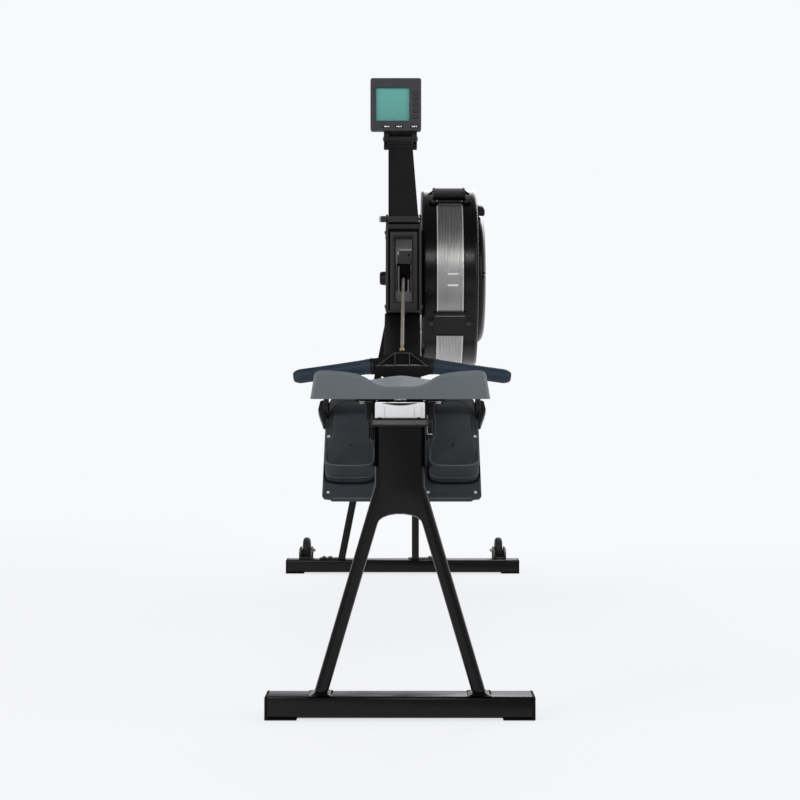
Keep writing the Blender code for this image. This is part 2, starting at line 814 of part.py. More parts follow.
def flywheel():
    """The axle with its end knob, and the fan of straight vanes on it."""
    box_left = BOX_X - BOX_WIDTH / 2
    knob_start = box_left - GAP - KNOB_LENGTH
    end = OUTER_FACE_X - 0.012
    r = AXLE_RADIUS
    profile = [
        (knob_start, 0),
        (knob_start, KNOB_RADIUS - 0.002),
        (knob_start + 0.002, KNOB_RADIUS),
        (box_left - GAP, KNOB_RADIUS),
        (box_left - GAP, r),
        (end, r),
        (end, 0),
    ]
    axle = finish(turned("flywheel_axle", profile, AXLE, steps=32), BLACK_STEEL)
    outline = []
    for vane in range(VANE_COUNT):
        angle = 2 * math.pi * vane / VANE_COUNT
        along = Vector((math.cos(angle), math.sin(angle)))
        across = Vector((-along.y, along.x)) * VANE_THICKNESS / 2
        for reach, side in ((HUB_RADIUS, -1), (VANE_TIP, -1), (VANE_TIP, 1), (HUB_RADIUS, 1)):
            corner = Vector((AXLE_Y, AXLE_HEIGHT)) + along * reach + across * side
            outline.append(tuple(corner))
    bore = arc((AXLE_Y, AXLE_HEIGHT), AXLE_RADIUS + GAP, 0, 345, 23)
    middle = (INNER_FACE_X + OUTER_FACE_X) / 2
    fan = extruded("flywheel", [outline, bore], middle - VANE_WIDTH / 2, middle + VANE_WIDTH / 2, "x")
    disc_profile = [
        (-0.002, AXLE_RADIUS + 0.002),
        (-0.002, VANE_TIP * 0.96),
        (0.002, VANE_TIP * 0.96),
        (0.002, AXLE_RADIUS + 0.002),
    ]
    disc = turned("fan_disc", disc_profile, AXLE + Vector((middle, 0, 0)), closed=True)
    finish(join(fan, disc), ALUMINIUM)
    carry(pivot("flywheel_pivot", AXLE), axle, fan)


def shell_profile(face, rim, hole):
    """A dished shell's section, from its hole out over the rounded shoulder to its rim."""
    sign = 1 if rim > face else -1
    r, wall, big = HOUSING_RADIUS, HOUSING_WALL, SHELL_ROUND
    corner = (face + sign * big, r - big)
    turn = [math.radians(a) for a in (0, 30, 60, 90)]
    outer = [(corner[0] - sign * big * math.cos(a), corner[1] + big * math.sin(a)) for a in turn]
    small = big - wall
    inner = [
        (corner[0] - sign * small * math.cos(a), corner[1] + small * math.sin(a))
        for a in reversed(turn)
    ]
    return [(face, hole), *outer, (rim, r), (rim, r - wall), *inner, (face + sign * wall, hole)]


def flywheel_housing():
    inner_rim = INNER_FACE_X + INNER_RIM
    outer_rim = inner_rim + SCREEN_WIDTH
    hole = AXLE_RADIUS + 0.001
    inner = turned("inner_shell", shell_profile(INNER_FACE_X, inner_rim, hole), AXLE, True)
    finish(inner, GLOSS_BLACK)
    outer = turned("outer_shell", shell_profile(OUTER_FACE_X, outer_rim, INLET_RADIUS), AXLE, True)
    finish(outer, GLOSS_BLACK)
    outside = HOUSING_RADIUS - HOUSING_WALL - GAP
    ring = [
        (inner_rim - SCREEN_SEAT, outside),
        (outer_rim + SCREEN_SEAT, outside),
        (outer_rim + SCREEN_SEAT, outside - SCREEN_WALL),
        (inner_rim - SCREEN_SEAT, outside - SCREEN_WALL),
    ]
    finish(turned("fan_screen", ring, AXLE, True), SCREEN_STEEL)
    bridge("top_bracket", 57, 123)
    bridge("lower_bracket", 205, 221.5)


def bridge(name, start, end):
    """A curved bracket over both rims, between two angles counted from forwards, with end lobes."""
    middle = INNER_FACE_X + INNER_RIM + SCREEN_WIDTH / 2
    inside = HOUSING_RADIUS + GAP
    step = 360 / HOUSING_FACETS
    angles = [start] + [a * step for a in range(HOUSING_FACETS) if start < a * step < end] + [end]

    def faceted(angle, radius):
        """A point on the housing's many-sided rim, moved out to this radius."""
        reach = radius * math.cos(math.radians(step / 2)) / math.cos(math.radians(angle % step - step / 2))
        turn = math.radians(angle)
        return AXLE_Y + reach * math.cos(turn), AXLE_HEIGHT + reach * math.sin(turn)

    outline = [faceted(a, inside + BRACKET_WALL) for a in angles]
    outline += [faceted(a, inside) for a in reversed(angles)]
    half = BRACKET_WIDTH / 2
    plate = extruded(name, [outline], middle - half, middle + half, "x")
    lobes = []
    for angle in (start, end) if end - start > 40 else ((start + end) / 2,):
        turn = math.radians(angle)
        out = Vector((0, math.cos(turn), math.sin(turn)))
        for side in (-1, 1):
            spot = Vector((middle + side * (half - 0.004), AXLE_Y, AXLE_HEIGHT)) + out * inside
            ends = spot + out * 0.0006, spot + out * (BRACKET_WALL + 0.002)
            lobes.append(rod(f"{name}_lobe_{angle}_{side}", 0.0105, *ends, 16))
    finish(bevel(join(plate, *lobes), 0.001, 1), BLACK_PLASTIC)


def damper():
    """The ring that opens and shuts the air inlet, with its lever, and the domed cover over it."""
    face = OUTER_FACE_X + GAP
    ring_out = face + DAMPER_PLATE
    profile = [(face, 0.030), (face, DAMPER_RADIUS), (ring_out, DAMPER_RADIUS), (ring_out, 0.030)]
    ring = turned("damper_lever", profile, AXLE, True)
    turn = math.radians(105)
    out = Vector((0, math.cos(turn), math.sin(turn)))
    arm = block("lever_arm", (face, -0.008, DAMPER_RADIUS - 0.012), (ring_out, 0.008, LEVER_REACH))
    tab = block("lever_tab", (face, -0.009, DOME_RADIUS + 0.003), (face + 0.022, 0.009, LEVER_REACH))
    for piece in (arm, tab):
        place = Matrix.Translation(AXLE) @ Matrix.Rotation(turn - math.pi / 2, 4, "X")
        piece.matrix_world = place @ Matrix.Translation(piece.location)
    finish(join(ring, arm, bevel(tab, 0.003)), BLACK_PLASTIC)
    carry(pivot("damper_pivot", AXLE), ring)

    base = ring_out + 0.0015
    crown = base + DOME_HEIGHT
    wall = DOME_WALL
    rim = DOME_RADIUS
    dome_profile = [
        (crown, 0),
        (crown, rim * 0.70),
        (crown - 0.0015, rim * 0.82),
        (crown - 0.005, rim * 0.92),
        (crown - 0.010, rim * 0.98),
        (base + 0.001, rim),
        (base, rim),
        (base, rim - wall),
        (crown - 0.011, rim * 0.965),
        (crown - 0.007, rim * 0.90),
        (crown - wall - 0.001, rim * 0.80),
        (crown - wall, rim * 0.68),
        (crown - wall, 0),
    ]
    dome = turned("damper_cover", dome_profile, AXLE)
    for angle in (60, 180, 300):
        turn = math.radians(angle)
        spot = AXLE + Vector((0, math.cos(turn), math.sin(turn))) * (DAMPER_RADIUS + 0.009)
        start, end = spot + Vector((face, 0, 0)), spot + Vector((crown - 0.0075, 0, 0))
        join(dome, rod(f"cover_boss_{angle}", 0.005, start, end, 12))
    finish(dome, GLOSS_BLACK)


def grip_axis(side):
    """Where a grip's middle line starts and ends, from the yoke's edge outwards and down."""
    start = Vector((side * (YOKE_WIDTH / 2 + GAP), HANDLE_PLACE, HANDLE_HEIGHT))
    run = HANDLE_WIDTH / 2 - YOKE_WIDTH / 2 - GAP
    return start, start + Vector((side * run, 0, -run * math.tan(HANDLE_DROP)))


def core_line():
    left, right = grip_axis(-1), grip_axis(1)
    trim = GRIP_RADIUS * 0.8
    along_left = (left[1] - left[0]).normalized()
    along_right = (right[1] - right[0]).normalized()
    return [left[1] - along_left * trim, left[0], right[0], right[1] - along_right * trim]


def handle():
    core = finish(tube("handle_core", core_line(), CORE_RADIUS), ALUMINIUM)
    grips = []
    bore = CORE_RADIUS + BORE_GAP
    for side, word in ((-1, "left"), (1, "right")):
        start, end = grip_axis(side)
        length = (end - start).length
        seat = length - GRIP_RADIUS * 0.8 + GAP
        wide, round_ = GRIP_RADIUS + GRIP_SWELL, 0.008
        lean = math.sin(HANDLE_DROP) * GRIP_RADIUS
        profile = [
            (seat, 0),
            (seat, bore),
            (lean, bore),
            (lean, wide),
            (length * 0.45, GRIP_RADIUS),
            (length - round_, GRIP_RADIUS),
            (length - round_ * 0.3, GRIP_RADIUS * 0.85),
            (length, GRIP_RADIUS * 0.5),
            (length, 0),
        ]
        grip = turned(f"grip_{word}", profile, start, steps=20, axis="z")
        grip.rotation_mode = "QUATERNION"
        grip.rotation_quaternion = (end - start).to_track_quat("Z", "Y")
        grips.append(finish(grip, GRIP_BLUE))
    half, low, top = YOKE_WIDTH / 2, HANDLE_HEIGHT - YOKE_LOW, HANDLE_HEIGHT + YOKE_TOP
    side = [
        (half * 0.62, low),
        (half, HANDLE_HEIGHT - GRIP_RADIUS - 0.001),
        (half, HANDLE_HEIGHT + GRIP_RADIUS + 0.001),
        (half * 0.78, HANDLE_HEIGHT + GRIP_RADIUS + 0.003),
        (half * 0.26, top - 0.002),
        (half * 0.14, top),
    ]
    outline = side + [(-x, z) for x, z in reversed(side)]
    y = HANDLE_PLACE
    yoke = extruded("handle_yoke", [outline], y - YOKE_DEPTH / 2, y + YOKE_DEPTH / 2, "y")
    channel = tube("core_channel", core_line(), CORE_RADIUS + BORE_GAP)
    for facing, face in (("back", y - YOKE_DEPTH / 2), ("front", y + YOKE_DEPTH / 2)):
        for number, pocket in enumerate(yoke_pockets()):
            depth = sorted((face - 0.001, face + 0.008) if facing == "back" else (face - 0.008, face + 0.001))
            cut(yoke, extruded(f"pocket_{facing}_{number}", [pocket], *depth, "y"))
    finish(cut(yoke, channel), BLACK_PLASTIC)
    base = swivel_base() + GAP
    swivel_profile = [
        (base, 0),
        (base, SWIVEL_RADIUS * 0.7),
        (base + 0.003, SWIVEL_RADIUS),
        (base + SWIVEL_LENGTH * 0.55, SWIVEL_RADIUS),
        (base + SWIVEL_LENGTH * 0.75, SWIVEL_RADIUS * 0.65),
        (base + SWIVEL_LENGTH - 0.004, SWIVEL_RADIUS * 0.6),
        (base + SWIVEL_LENGTH - 0.004, 0),
    ]
    swivel = finish(turned("chain_swivel", swivel_profile, (0, y, 0), steps=16, axis="z"), BRASS)
    carry(pivot("handle_pivot", (0, y, HANDLE_HEIGHT)), core, *grips, yoke, swivel)


def yoke_pockets():
    """The pockets between the yoke's ribs: one in the middle and one each side."""
    half, rib = YOKE_WIDTH / 2, 0.0018
    low = HANDLE_HEIGHT + CORE_RADIUS * 0.2
    top = HANDLE_HEIGHT + YOKE_TOP - 0.004
    middle = 0.0165
    outer_low, outer_top = half * 0.66, half * 0.32
    side = [(middle + rib, low), (outer_low, low), (outer_top, top - 0.002), (middle + rib, top)]
    centre = [(-middle + rib, low), (middle - rib, low), (middle - rib, top), (-middle + rib, top)]
    return [centre, side, [(-x, z) for x, z in reversed(side)]]


def handle_hook():
    """The rest that holds the parked handle: a seat under the yoke and a wall in front of it."""
    y = HANDLE_PLACE
    back, front = y - YOKE_DEPTH * 0.45, y + YOKE_DEPTH / 2 + GAP
    seat = HANDLE_HEIGHT - YOKE_LOW - GAP
    wall = HOOK_WALL

    def surface(place):
        return beam_height(place) + GAP / math.cos(BEAM_ANGLE)

    outline = [
        (back, surface(back)),
        (front + wall, surface(front + wall)),
        (front + wall, seat + 0.019),
        (front + wall - 0.003, seat + 0.022),
        (front + 0.002, seat + 0.022),
        (front, seat + 0.020),
        (front, seat),
        (back, seat),
    ]
    hook = extruded("handle_hook", [outline], -HOOK_WIDTH / 2, HOOK_WIDTH / 2, "x")
    finish(hook, BLACK_PLASTIC)


def board_frame():
    """The plane of the footboards: x across, y up the slope, z off the surface."""
    heel = Vector((0, RAIL_END - BOARD_HEEL_BACK, BOARD_HEEL_HEIGHT))
    return Matrix.Translation(heel) @ Matrix.Rotation(BOARD_ANGLE, 4, "X")


def lay_on_board(obj):
    bpy.context.view_layer.update()
    obj.matrix_world = board_frame() @ obj.matrix_world
    return obj


def footboard(side, word):
    inside = BEAM_WIDTH / 2 + GAP
    outside = inside + BOARD_WIDTH
    corner = BOARD_CORNER
    outline = [
        (inside, 0),
        (outside - corner * 1.8, 0),
        (outside - corner * 1.4, corner * 0.4),
        (outside - corner * 0.4, corner * 0.5),
        (outside, corner * 1.2),
        (outside, BOARD_LENGTH - corner),
        (outside - corner, BOARD_LENGTH),
        (inside, BOARD_LENGTH),
    ]
    board = extruded(f"footboard_{word}", [mirrored(outline, side)], -BOARD_THICKNESS, 0, "z")
    lay_on_board(board)
    for place in (0.022, BOARD_LENGTH * 0.42):
        for across in (inside + 0.012, outside - 0.011):
            if place > 0.1 and across < outside - 0.02:
                continue
            ends = (side * across, place, -0.02), (side * across, place, 0.01)
            cut(board, lay_on_board(rod(f"bolt_{word}_{place}_{across}", 0.0026, *ends, 10)))
    frame = board_frame()

    def on_board(z, off):
        """The place along Y where the board's surface, moved off by this much, has this height."""
        start = frame @ Vector((0, 0, off))
        return start.y + (z - start.z) / math.tan(BOARD_ANGLE)

    low, high = BEAM_TOP - BEAM_DEPTH + 0.006, BEAM_TOP - 0.004
    sunk = -BOARD_THICKNESS / 2
    web = [
        (on_board(low, sunk), low),
        (on_board(low, sunk) + 0.07, low),
        (on_board(high, sunk) + 0.05, high),
        (on_board(high, sunk), high),
    ]
    ends = sorted((side * inside, side * (inside + 0.004)))
    join(board, extruded(f"board_web_{word}", [web], *ends, "x"))
    finish(board, SLATE_PLASTIC)


def heel_curve(half, depth, back):
    """The wide, shallow curve round a heel, from the right side down and back up to the left."""
    made = []
    for degrees in range(0, -181, -15):
        turn = math.radians(degrees)
        across = math.copysign(abs(math.cos(turn)) ** 0.6, math.cos(turn))
        made.append((SHOE_CENTRE + half * across, back - depth * abs(math.sin(turn)) ** 0.6))
    return made


def shoe(side, word):
    """The shoe insert: a sole that slides up and down the board, with a cup round the heel."""
    heel, toe = SHOE_HEEL_WIDTH / 2, SHOE_TOE_WIDTH / 2
    x = SHOE_CENTRE
    back = SHOE_START + SHOE_HEEL_ROUND
    waist, neck, top = (SHOE_START + SHOE_LENGTH * share for share in (0.48, 0.68, 1.0))
    outline = [
        (x - toe, top),
        (x + toe, top),
        (x + toe * 1.05, neck),
        (x + heel * 0.97, waist),
        *heel_curve(heel, SHOE_HEEL_ROUND, back),
        (x - heel * 0.97, waist),
        (x - toe * 1.05, neck),
    ]
    sole = extruded(f"insert_{word}", [mirrored(outline, side)], GAP, GAP + SHOE_SOLE, "z")
    lay_on_board(sole)
    tip = back + CUP_ARM
    small = heel - CUP_WALL
    outer = [(x + heel - 0.0004, tip), *heel_curve(heel - 0.0004, SHOE_HEEL_ROUND - 0.0004, back)]
    inner = heel_curve(small, SHOE_HEEL_ROUND - CUP_WALL, back)[::-1]
    wall = outer + [(x - heel + 0.0004, tip), (x - small, tip)] + inner + [(x + small, tip)]
    cup = extruded(f"heel_cup_{word}", [mirrored(wall, side)], GAP + SHOE_SOLE * 0.5, CUP_HEIGHT, "z")
    join(sole, lay_on_board(cup))
    finish(sole, SLATE_PLASTIC)
    middle = board_frame() @ Vector((side * x, back, 0))
    carry(pivot(f"insert_pivot_{word}", middle), sole)


def strap(side, word):
    """The webbing over the foot, with its buckle on the board's outer edge."""
    x, span = SHOE_CENTRE, STRAP_HALF_SPAN
    low = GAP
    small, less = span - STRAP_THICKNESS, STRAP_RISE - STRAP_THICKNESS
    outer, inner = [], []
    for a in range(0, 181, 15):
        turn = math.radians(a)
        outer.append((x + span * math.cos(turn), low + STRAP_RISE * math.sin(turn)))
        inner.append((x + small * math.cos(turn), low + less * math.sin(turn)))
    outline = outer + inner[::-1]
    place = STRAP_PLACE
    # Drawn as (x, height off the board), then laid up the slope.
    band = extruded(f"strap_{word}", [mirrored(outline, side)], place, place + STRAP_WIDTH, "y")
    lay_on_board(band)
    edge = x + span
    ends = sorted((side * (edge - STRAP_THICKNESS / 2), side * (edge + BUCKLE_THICKNESS)))
    buckle = block(
        f"buckle_{word}",
        (ends[0], place - 0.007, GAP),
        (ends[1], place + STRAP_WIDTH + 0.007, BUCKLE_HEIGHT * 0.55),
    )
    join(band, lay_on_board(bevel(buckle, 0.002, 1)))
    finish(band, STRAP_WEBBING)


def carriage_reach():
    """How far from the middle the carriage's side plates stand."""
    return TRACK_WIDTH / 2 + CARRIAGE_SIDE_GAP


def carriage_span():
    middle = REAR + SEAT_BACK + SEAT_LENGTH / 2
    return middle, middle - CARRIAGE_LENGTH / 2, middle + CARRIAGE_LENGTH / 2


def seat_carriage():
    """Side plates beside the rail, flanges under the seat and a cross plate at each end."""
    inside = carriage_reach()
    outside = inside + CARRIAGE_WALL
    middle, back, front = carriage_span()
    flange_top = SEAT_BASE - GAP
    flange_low = flange_top - CARRIAGE_WALL
    roller_z = RAIL_TOP + GAP + ROLLER_RADIUS
    top = roller_z + PIN_RADIUS + 0.0045
    under = RAIL_TOP - CARRIAGE_DROP
    body = None
    for side in (-1, 1):
        low, high = sorted((side * inside, side * outside))
        outline = [
            (back + 0.02, under),
            (front - 0.02, under),
            (front, RAIL_TOP - 0.020),
            (front, top),
            (back, top),
            (back, RAIL_TOP - 0.020),
        ]
        plate = extruded(f"side_plate_{side}", [outline], low, high, "x")
        low, high = sorted((side * (inside + 0.001), side * (outside + CARRIAGE_FLANGE)))
        flange = block(f"flange_{side}", (low, back, flange_low), (high, front, flange_top))
        if body is None:
            body = plate
            body.name = "seat_carriage"
            join(body, flange)
        else:
            join(body, plate, flange)
    for number, end in enumerate((back, front - CARRIAGE_WALL)):
        cross = block(
            f"cross_{number}",
            (-outside + 0.001, end, RAIL_TOP + 0.0015),
            (outside - 0.001, end + CARRIAGE_WALL, top),
        )
        join(body, cross)
        ends = (0, end - 0.01, RAIL_TOP - 0.003), (0, end + 0.02, RAIL_TOP - 0.003)
        cut(body, rod(f"arch_{number}", 0.011, *ends, 20))
    wide = outside + 0.02
    for place in (middle - ROLLER_PITCH / 2, middle + ROLLER_PITCH / 2):
        ends = (-wide, place, roller_z), (wide, place, roller_z)
        cut(body, rod(f"axle_hole_{place}", PIN_RADIUS + BORE_GAP, *ends, 16))
    guide_z = guide_roller_height()
    ends = (-wide, middle, guide_z), (wide, middle, guide_z)
    cut(body, rod("guide_hole", PIN_RADIUS + BORE_GAP, *ends, 16))
    return finish(body, BLACK_STEEL)


def guide_roller_height():
    return RAIL_TOP - TRACK_WALL - GAP - FLANGE_THICKNESS - GAP - GUIDE_ROLLER_RADIUS


def seat_rollers():
    middle, _, _ = carriage_span()
    z = RAIL_TOP + GAP + ROLLER_RADIUS
    end = carriage_reach() + CARRIAGE_WALL + 0.003
    near, far = ROLLER_SPREAD - ROLLER_WIDTH / 2, ROLLER_SPREAD + ROLLER_WIDTH / 2
    right = [
        (near, PIN_RADIUS),
        (near, ROLLER_RADIUS - 0.001),
        (near + 0.001, ROLLER_RADIUS),
        (far - 0.001, ROLLER_RADIUS),
        (far, ROLLER_RADIUS - 0.001),
        (far, PIN_RADIUS),
        (end, PIN_RADIUS),
        (end, 0),
    ]
    profile = [(-x, r) for x, r in reversed(right)] + right
    made = []
    for word, place in (("rear", middle - ROLLER_PITCH / 2), ("front", middle + ROLLER_PITCH / 2)):
        roller = turned(f"seat_roller_{word}", profile, (0, place, z), steps=16)
        made.append(finish(roller, PALE_PLASTIC))
    z = guide_roller_height()
    inside = carriage_reach()
    near = inside - 0.004 - GUIDE_ROLLER_WIDTH
    stub = [
        (near, 0),
        (near, GUIDE_ROLLER_RADIUS - 0.001),
        (near + 0.001, GUIDE_ROLLER_RADIUS),
        (near + GUIDE_ROLLER_WIDTH, GUIDE_ROLLER_RADIUS),
        (near + GUIDE_ROLLER_WIDTH, PIN_RADIUS),
        (end, PIN_RADIUS),
        (end, 0),
    ]
    for side, word in ((-1, "left"), (1, "right")):
        shape = [(side * x, r) for x, r in stub]
        roller = turned(f"guide_roller_{word}", shape, (0, middle, z), steps=16)
        made.append(finish(roller, PALE_PLASTIC))
    return made


def smooth_step(value):
    value = min(1.0, max(0.0, value))
    return value * value * (3 - 2 * value)


def read_off(points, place):
    """The value at this place on a line drawn through the points."""
    for (start, low), (end, high) in zip(points, points[1:]):
        if place <= end:
            return low + (high - low) * (place - start) / (end - start)
    return points[-1][1]


def seat_height(across, along):
    """The seat's upper surface over its base; across runs from -1 to 1, along from back to front."""
    half = SEAT_WIDTH / 2
    x = abs(across) * half
    rear = read_off(SEAT_REAR_EDGE, abs(across))
    front = SEAT_POMMEL - 0.0065 * smooth_step(x / (half * 0.45))
    front -= 0.010 * smooth_step((x - half * 0.5) / (half * 0.5))
    share = smooth_step((along + 1) / 2 * 1.15 - 0.10)
    bowl = 0.010 * (1 - along * along) * math.exp(-((x - half * 0.40) / (half * 0.42)) ** 2)
    return rear + (front - rear) * share - bowl * (1 - 0.5 * share)


def seat():
    """A dished pad with a high back edge that dips in the middle, and a pocket for the carriage."""
    middle, back, front = carriage_span()
    half_w, half_l = SEAT_WIDTH / 2, SEAT_LENGTH / 2
    mesh = bpy.data.meshes.new("seat_shell")
    shape = bmesh.new()
    bmesh.ops.create_grid(shape, x_segments=18, y_segments=12, size=1.0)
    grid = [(vert, vert.co.x, vert.co.y) for vert in shape.verts]
    extra = bmesh.ops.extrude_face_region(shape, geom=shape.faces[:])
    top = [item for item in extra["geom"] if isinstance(item, bmesh.types.BMVert)]
    tops = {(round(v.co.x, 4), round(v.co.y, 4)): v for v in top}
    for vert, u, v in grid:
        x = u * math.sqrt(1 - 0.10 * v**4)
        y = v * math.sqrt(1 - 0.10 * u**4)
        narrow = 1 - 0.05 * smooth_step((v - 0.2) / 0.8)
        vert.co = (x * half_w * narrow, y * half_l, 0)
        upper = tops[(round(u, 4), round(v, 4))]
        upper.co = (vert.co.x * 0.955, vert.co.y * 0.975, seat_height(u, v))
    bmesh.ops.recalc_face_normals(shape, faces=shape.faces)
    shape.to_mesh(mesh)
    shape.free()
    pad = new_object("seat_shell", mesh)
    pad.location = (0, middle, SEAT_BASE)
    outside = carriage_reach() + CARRIAGE_WALL + 0.005
    roof = RAIL_TOP + GAP + ROLLER_RADIUS + max(ROLLER_RADIUS, PIN_RADIUS + 0.0045) + GAP
    pocket = block("seat_pocket", (-outside, back - 0.004, SEAT_BASE - 0.02), (outside, front + 0.004, roof))
    cut(pad, pocket)
    return finish(pad, SEAT_GREY)


def arm_pivot_place():
    return BOX_BACK + ARM_SETBACK, BOX_TOP + ARM_PIN_HEIGHT


def tilt_place():
    pin_y, pin_z = arm_pivot_place()
    return pin_y, pin_z + ARM_LENGTH


def monitor_arm():
    """A tapered arm on a pin between the housing's ears, with the tilt barrel on its upper end."""
    pin_y, pin_z = arm_pivot_place()
    tilt_y, tilt_z = tilt_place()
    left = BOX_X - BOX_WIDTH / 2 + ARM_EAR + 2 * GAP
    right = BOX_X + BOX_WIDTH / 2 - ARM_EAR - 2 * GAP
    top_right = left + ARM_TOP_WIDTH
    low = pin_z - ARM_TAIL
    outline = [
        (left, low),
        (right, low),
        (right, low + 0.014),
        (left + ARM_BASE_WIDTH, low + 0.020),
        (top_right, tilt_z - TILT_RADIUS - 0.004),
        (top_right, tilt_z - 0.004),
        (left, tilt_z - 0.004),
    ]
    half = ARM_THICKNESS / 2
    arm = extruded("monitor_arm", [outline], pin_y - half, pin_y + half, "y")
    bevel(arm, 0.0015, 1)
    skirt_top = tilt_z - SKIRT_TOP
    skirt = block(
        "arm_skirt",
        (left - SKIRT_SPREAD, pin_y - half - 0.002, skirt_top - SKIRT_HEIGHT),
        (top_right + SKIRT_SPREAD, pin_y + half + 0.002, skirt_top),
    )
    bevel(skirt, 0.0015, 1)
    barrel = rod(
        "tilt_barrel",
        TILT_RADIUS,
        (left + 0.001, tilt_y, tilt_z),
        (top_right - 0.001, tilt_y, tilt_z),
    )
    tilt_pin = rod(
        "tilt_pin",
        PIN_RADIUS,
        (left - 0.010, tilt_y, tilt_z),
        (top_right + 0.010, tilt_y, tilt_z),
        16,
    )
    box_left, box_right = BOX_X - BOX_WIDTH / 2, BOX_X + BOX_WIDTH / 2
    pin = rod("arm_pin", PIN_RADIUS, (box_left - 0.003, pin_y, pin_z), (box_right + 0.001, pin_y, pin_z), 16)
    head = rod("arm_pin_head", 0.0058, (box_left - 0.012, pin_y, pin_z), (box_left - GAP, pin_y, pin_z), 16)
    body = finish(join(arm, barrel, tilt_pin, skirt, pin, head), BLACK_STEEL)
    carry(pivot("arm_pivot", (0, pin_y, pin_z)), body)


def monitor_box():
    """The monitor case's corners: left, right, its face, its back, and its lower edge."""
    tilt_y, tilt_z = tilt_place()
    low = tilt_z + TILT_RADIUS + MONITOR_LIFT
    back = tilt_y + 0.004
    face = back - MONITOR_DEPTH
    return MONITOR_X - MONITOR_WIDTH / 2, MONITOR_X + MONITOR_WIDTH / 2, face, back, low


def screen_box():
    left, right, face, back, low = monitor_box()
    middle = low + SCREEN_SETTING - SCREEN_GLASS_HEIGHT / 2
    return (
        SCREEN_X - SCREEN_GLASS_WIDTH / 2,
        SCREEN_X + SCREEN_GLASS_WIDTH / 2,
        middle - SCREEN_GLASS_HEIGHT / 2,
        middle + SCREEN_GLASS_HEIGHT / 2,
    )


def button_places():
    """Each button's name, middle and size: five beside the screen and three under it."""
    _, _, _, _, low = monitor_box()
    made = []
    for number in range(5):
        z = low + SIDE_BUTTON_TOP - number * SIDE_BUTTON_PITCH
        made.append((f"side_button_{number + 1}", SIDE_BUTTON_X, z, SIDE_BUTTON_SIZE))
    for number, x in enumerate(LOW_BUTTON_PLACES):
        made.append((f"low_button_{number + 1}", x, low + LOW_BUTTON_HEIGHT, LOW_BUTTON_SIZE))
    return made


def monitor():
    left, right, face, back, low = monitor_box()
    top = low + MONITOR_HEIGHT
    wall = MONITOR_WALL
    seam = face + FRONT_DEPTH
    shell = rounded((left, low), (right, top), MONITOR_CORNER)
    front = extruded("case_front", [shell], face, seam, "y")
    bevel(front, 0.0012, 1, 60)
    tray = block(
        "front_tray",
        (left + wall, face + wall * 2, low + wall),
        (right - wall, seam + 0.01, top - wall),
    )
    x0, x1, z0, z1 = screen_box()
    window = block("screen_window", (x0, face - 0.01, z0), (x1, face + 0.02, z1))
    cut(front, tray, window)
    tilt_y, tilt_z = tilt_place()
    pins = []
    stem_back = face + wall * 2 + 0.004
    for name, x, z, (wide, high) in button_places():
        hole = block(
            f"{name}_hole",
            (x - wide / 2 - GAP, face - 0.01, z - high / 2 - GAP),
            (x + wide / 2 + GAP, face + 0.02, z + high / 2 + GAP),
        )
        cut(front, hole)
        cap = block(
            name,
            (x - wide / 2, face - BUTTON_TRAVEL - 0.0003, z - high / 2),
            (x + wide / 2, stem_back, z + high / 2),
        )
        pins.append(finish(bevel(cap, 0.0006, 1), CASE_GREY))
    finish(front, CASE_GREY)

    rear = extruded("case_back", [shell], seam + GAP, back, "y")
    bevel(rear, 0.003, 2, 60)
    hollow = block(
        "back_hollow",
        (left + wall, seam - 0.01, low + wall),
        (right - wall, back - wall, top - wall),
    )
    arm_left = BOX_X - BOX_WIDTH / 2 + ARM_EAR + 2 * GAP
    arm_right = arm_left + ARM_TOP_WIDTH
    lug = 0.011
    lugs = (arm_left - GAP - lug, arm_left - GAP), (arm_right + GAP, arm_right + GAP + lug)
    for number, (lug_left, lug_right) in enumerate(lugs):
        ear = [
            (tilt_y - TILT_RADIUS, low + 0.002),
            *arc((tilt_y, tilt_z), TILT_RADIUS, 180, 360, 8),
            (back - 0.001, tilt_z),
            (back - 0.001, low + 0.002),
        ]
        ear = [(min(y, back - 0.001), z) for y, z in ear]
        join(rear, extruded(f"tilt_lug_{number}", [ear], lug_left, lug_right, "x"))
    cut(rear, hollow)
    ends = (arm_left - 0.05, tilt_y, tilt_z), (arm_right + 0.05, tilt_y, tilt_z)
    finish(cut(rear, rod("tilt_bore", PIN_RADIUS + BORE_GAP, *ends, 16)), CASE_GREY)

    sink = face + wall * 2 + GAP
    glass = block(
        "monitor_screen",
        (x0 - 0.003, sink, z0 - 0.003),
        (x1 + 0.003, sink + 0.004, z1 + 0.003),
    )
    finish(glass, DISPLAY_TEAL)
    carry(pivot("tilt_pivot", (0, tilt_y, tilt_z)), front, rear, glass, *pins)


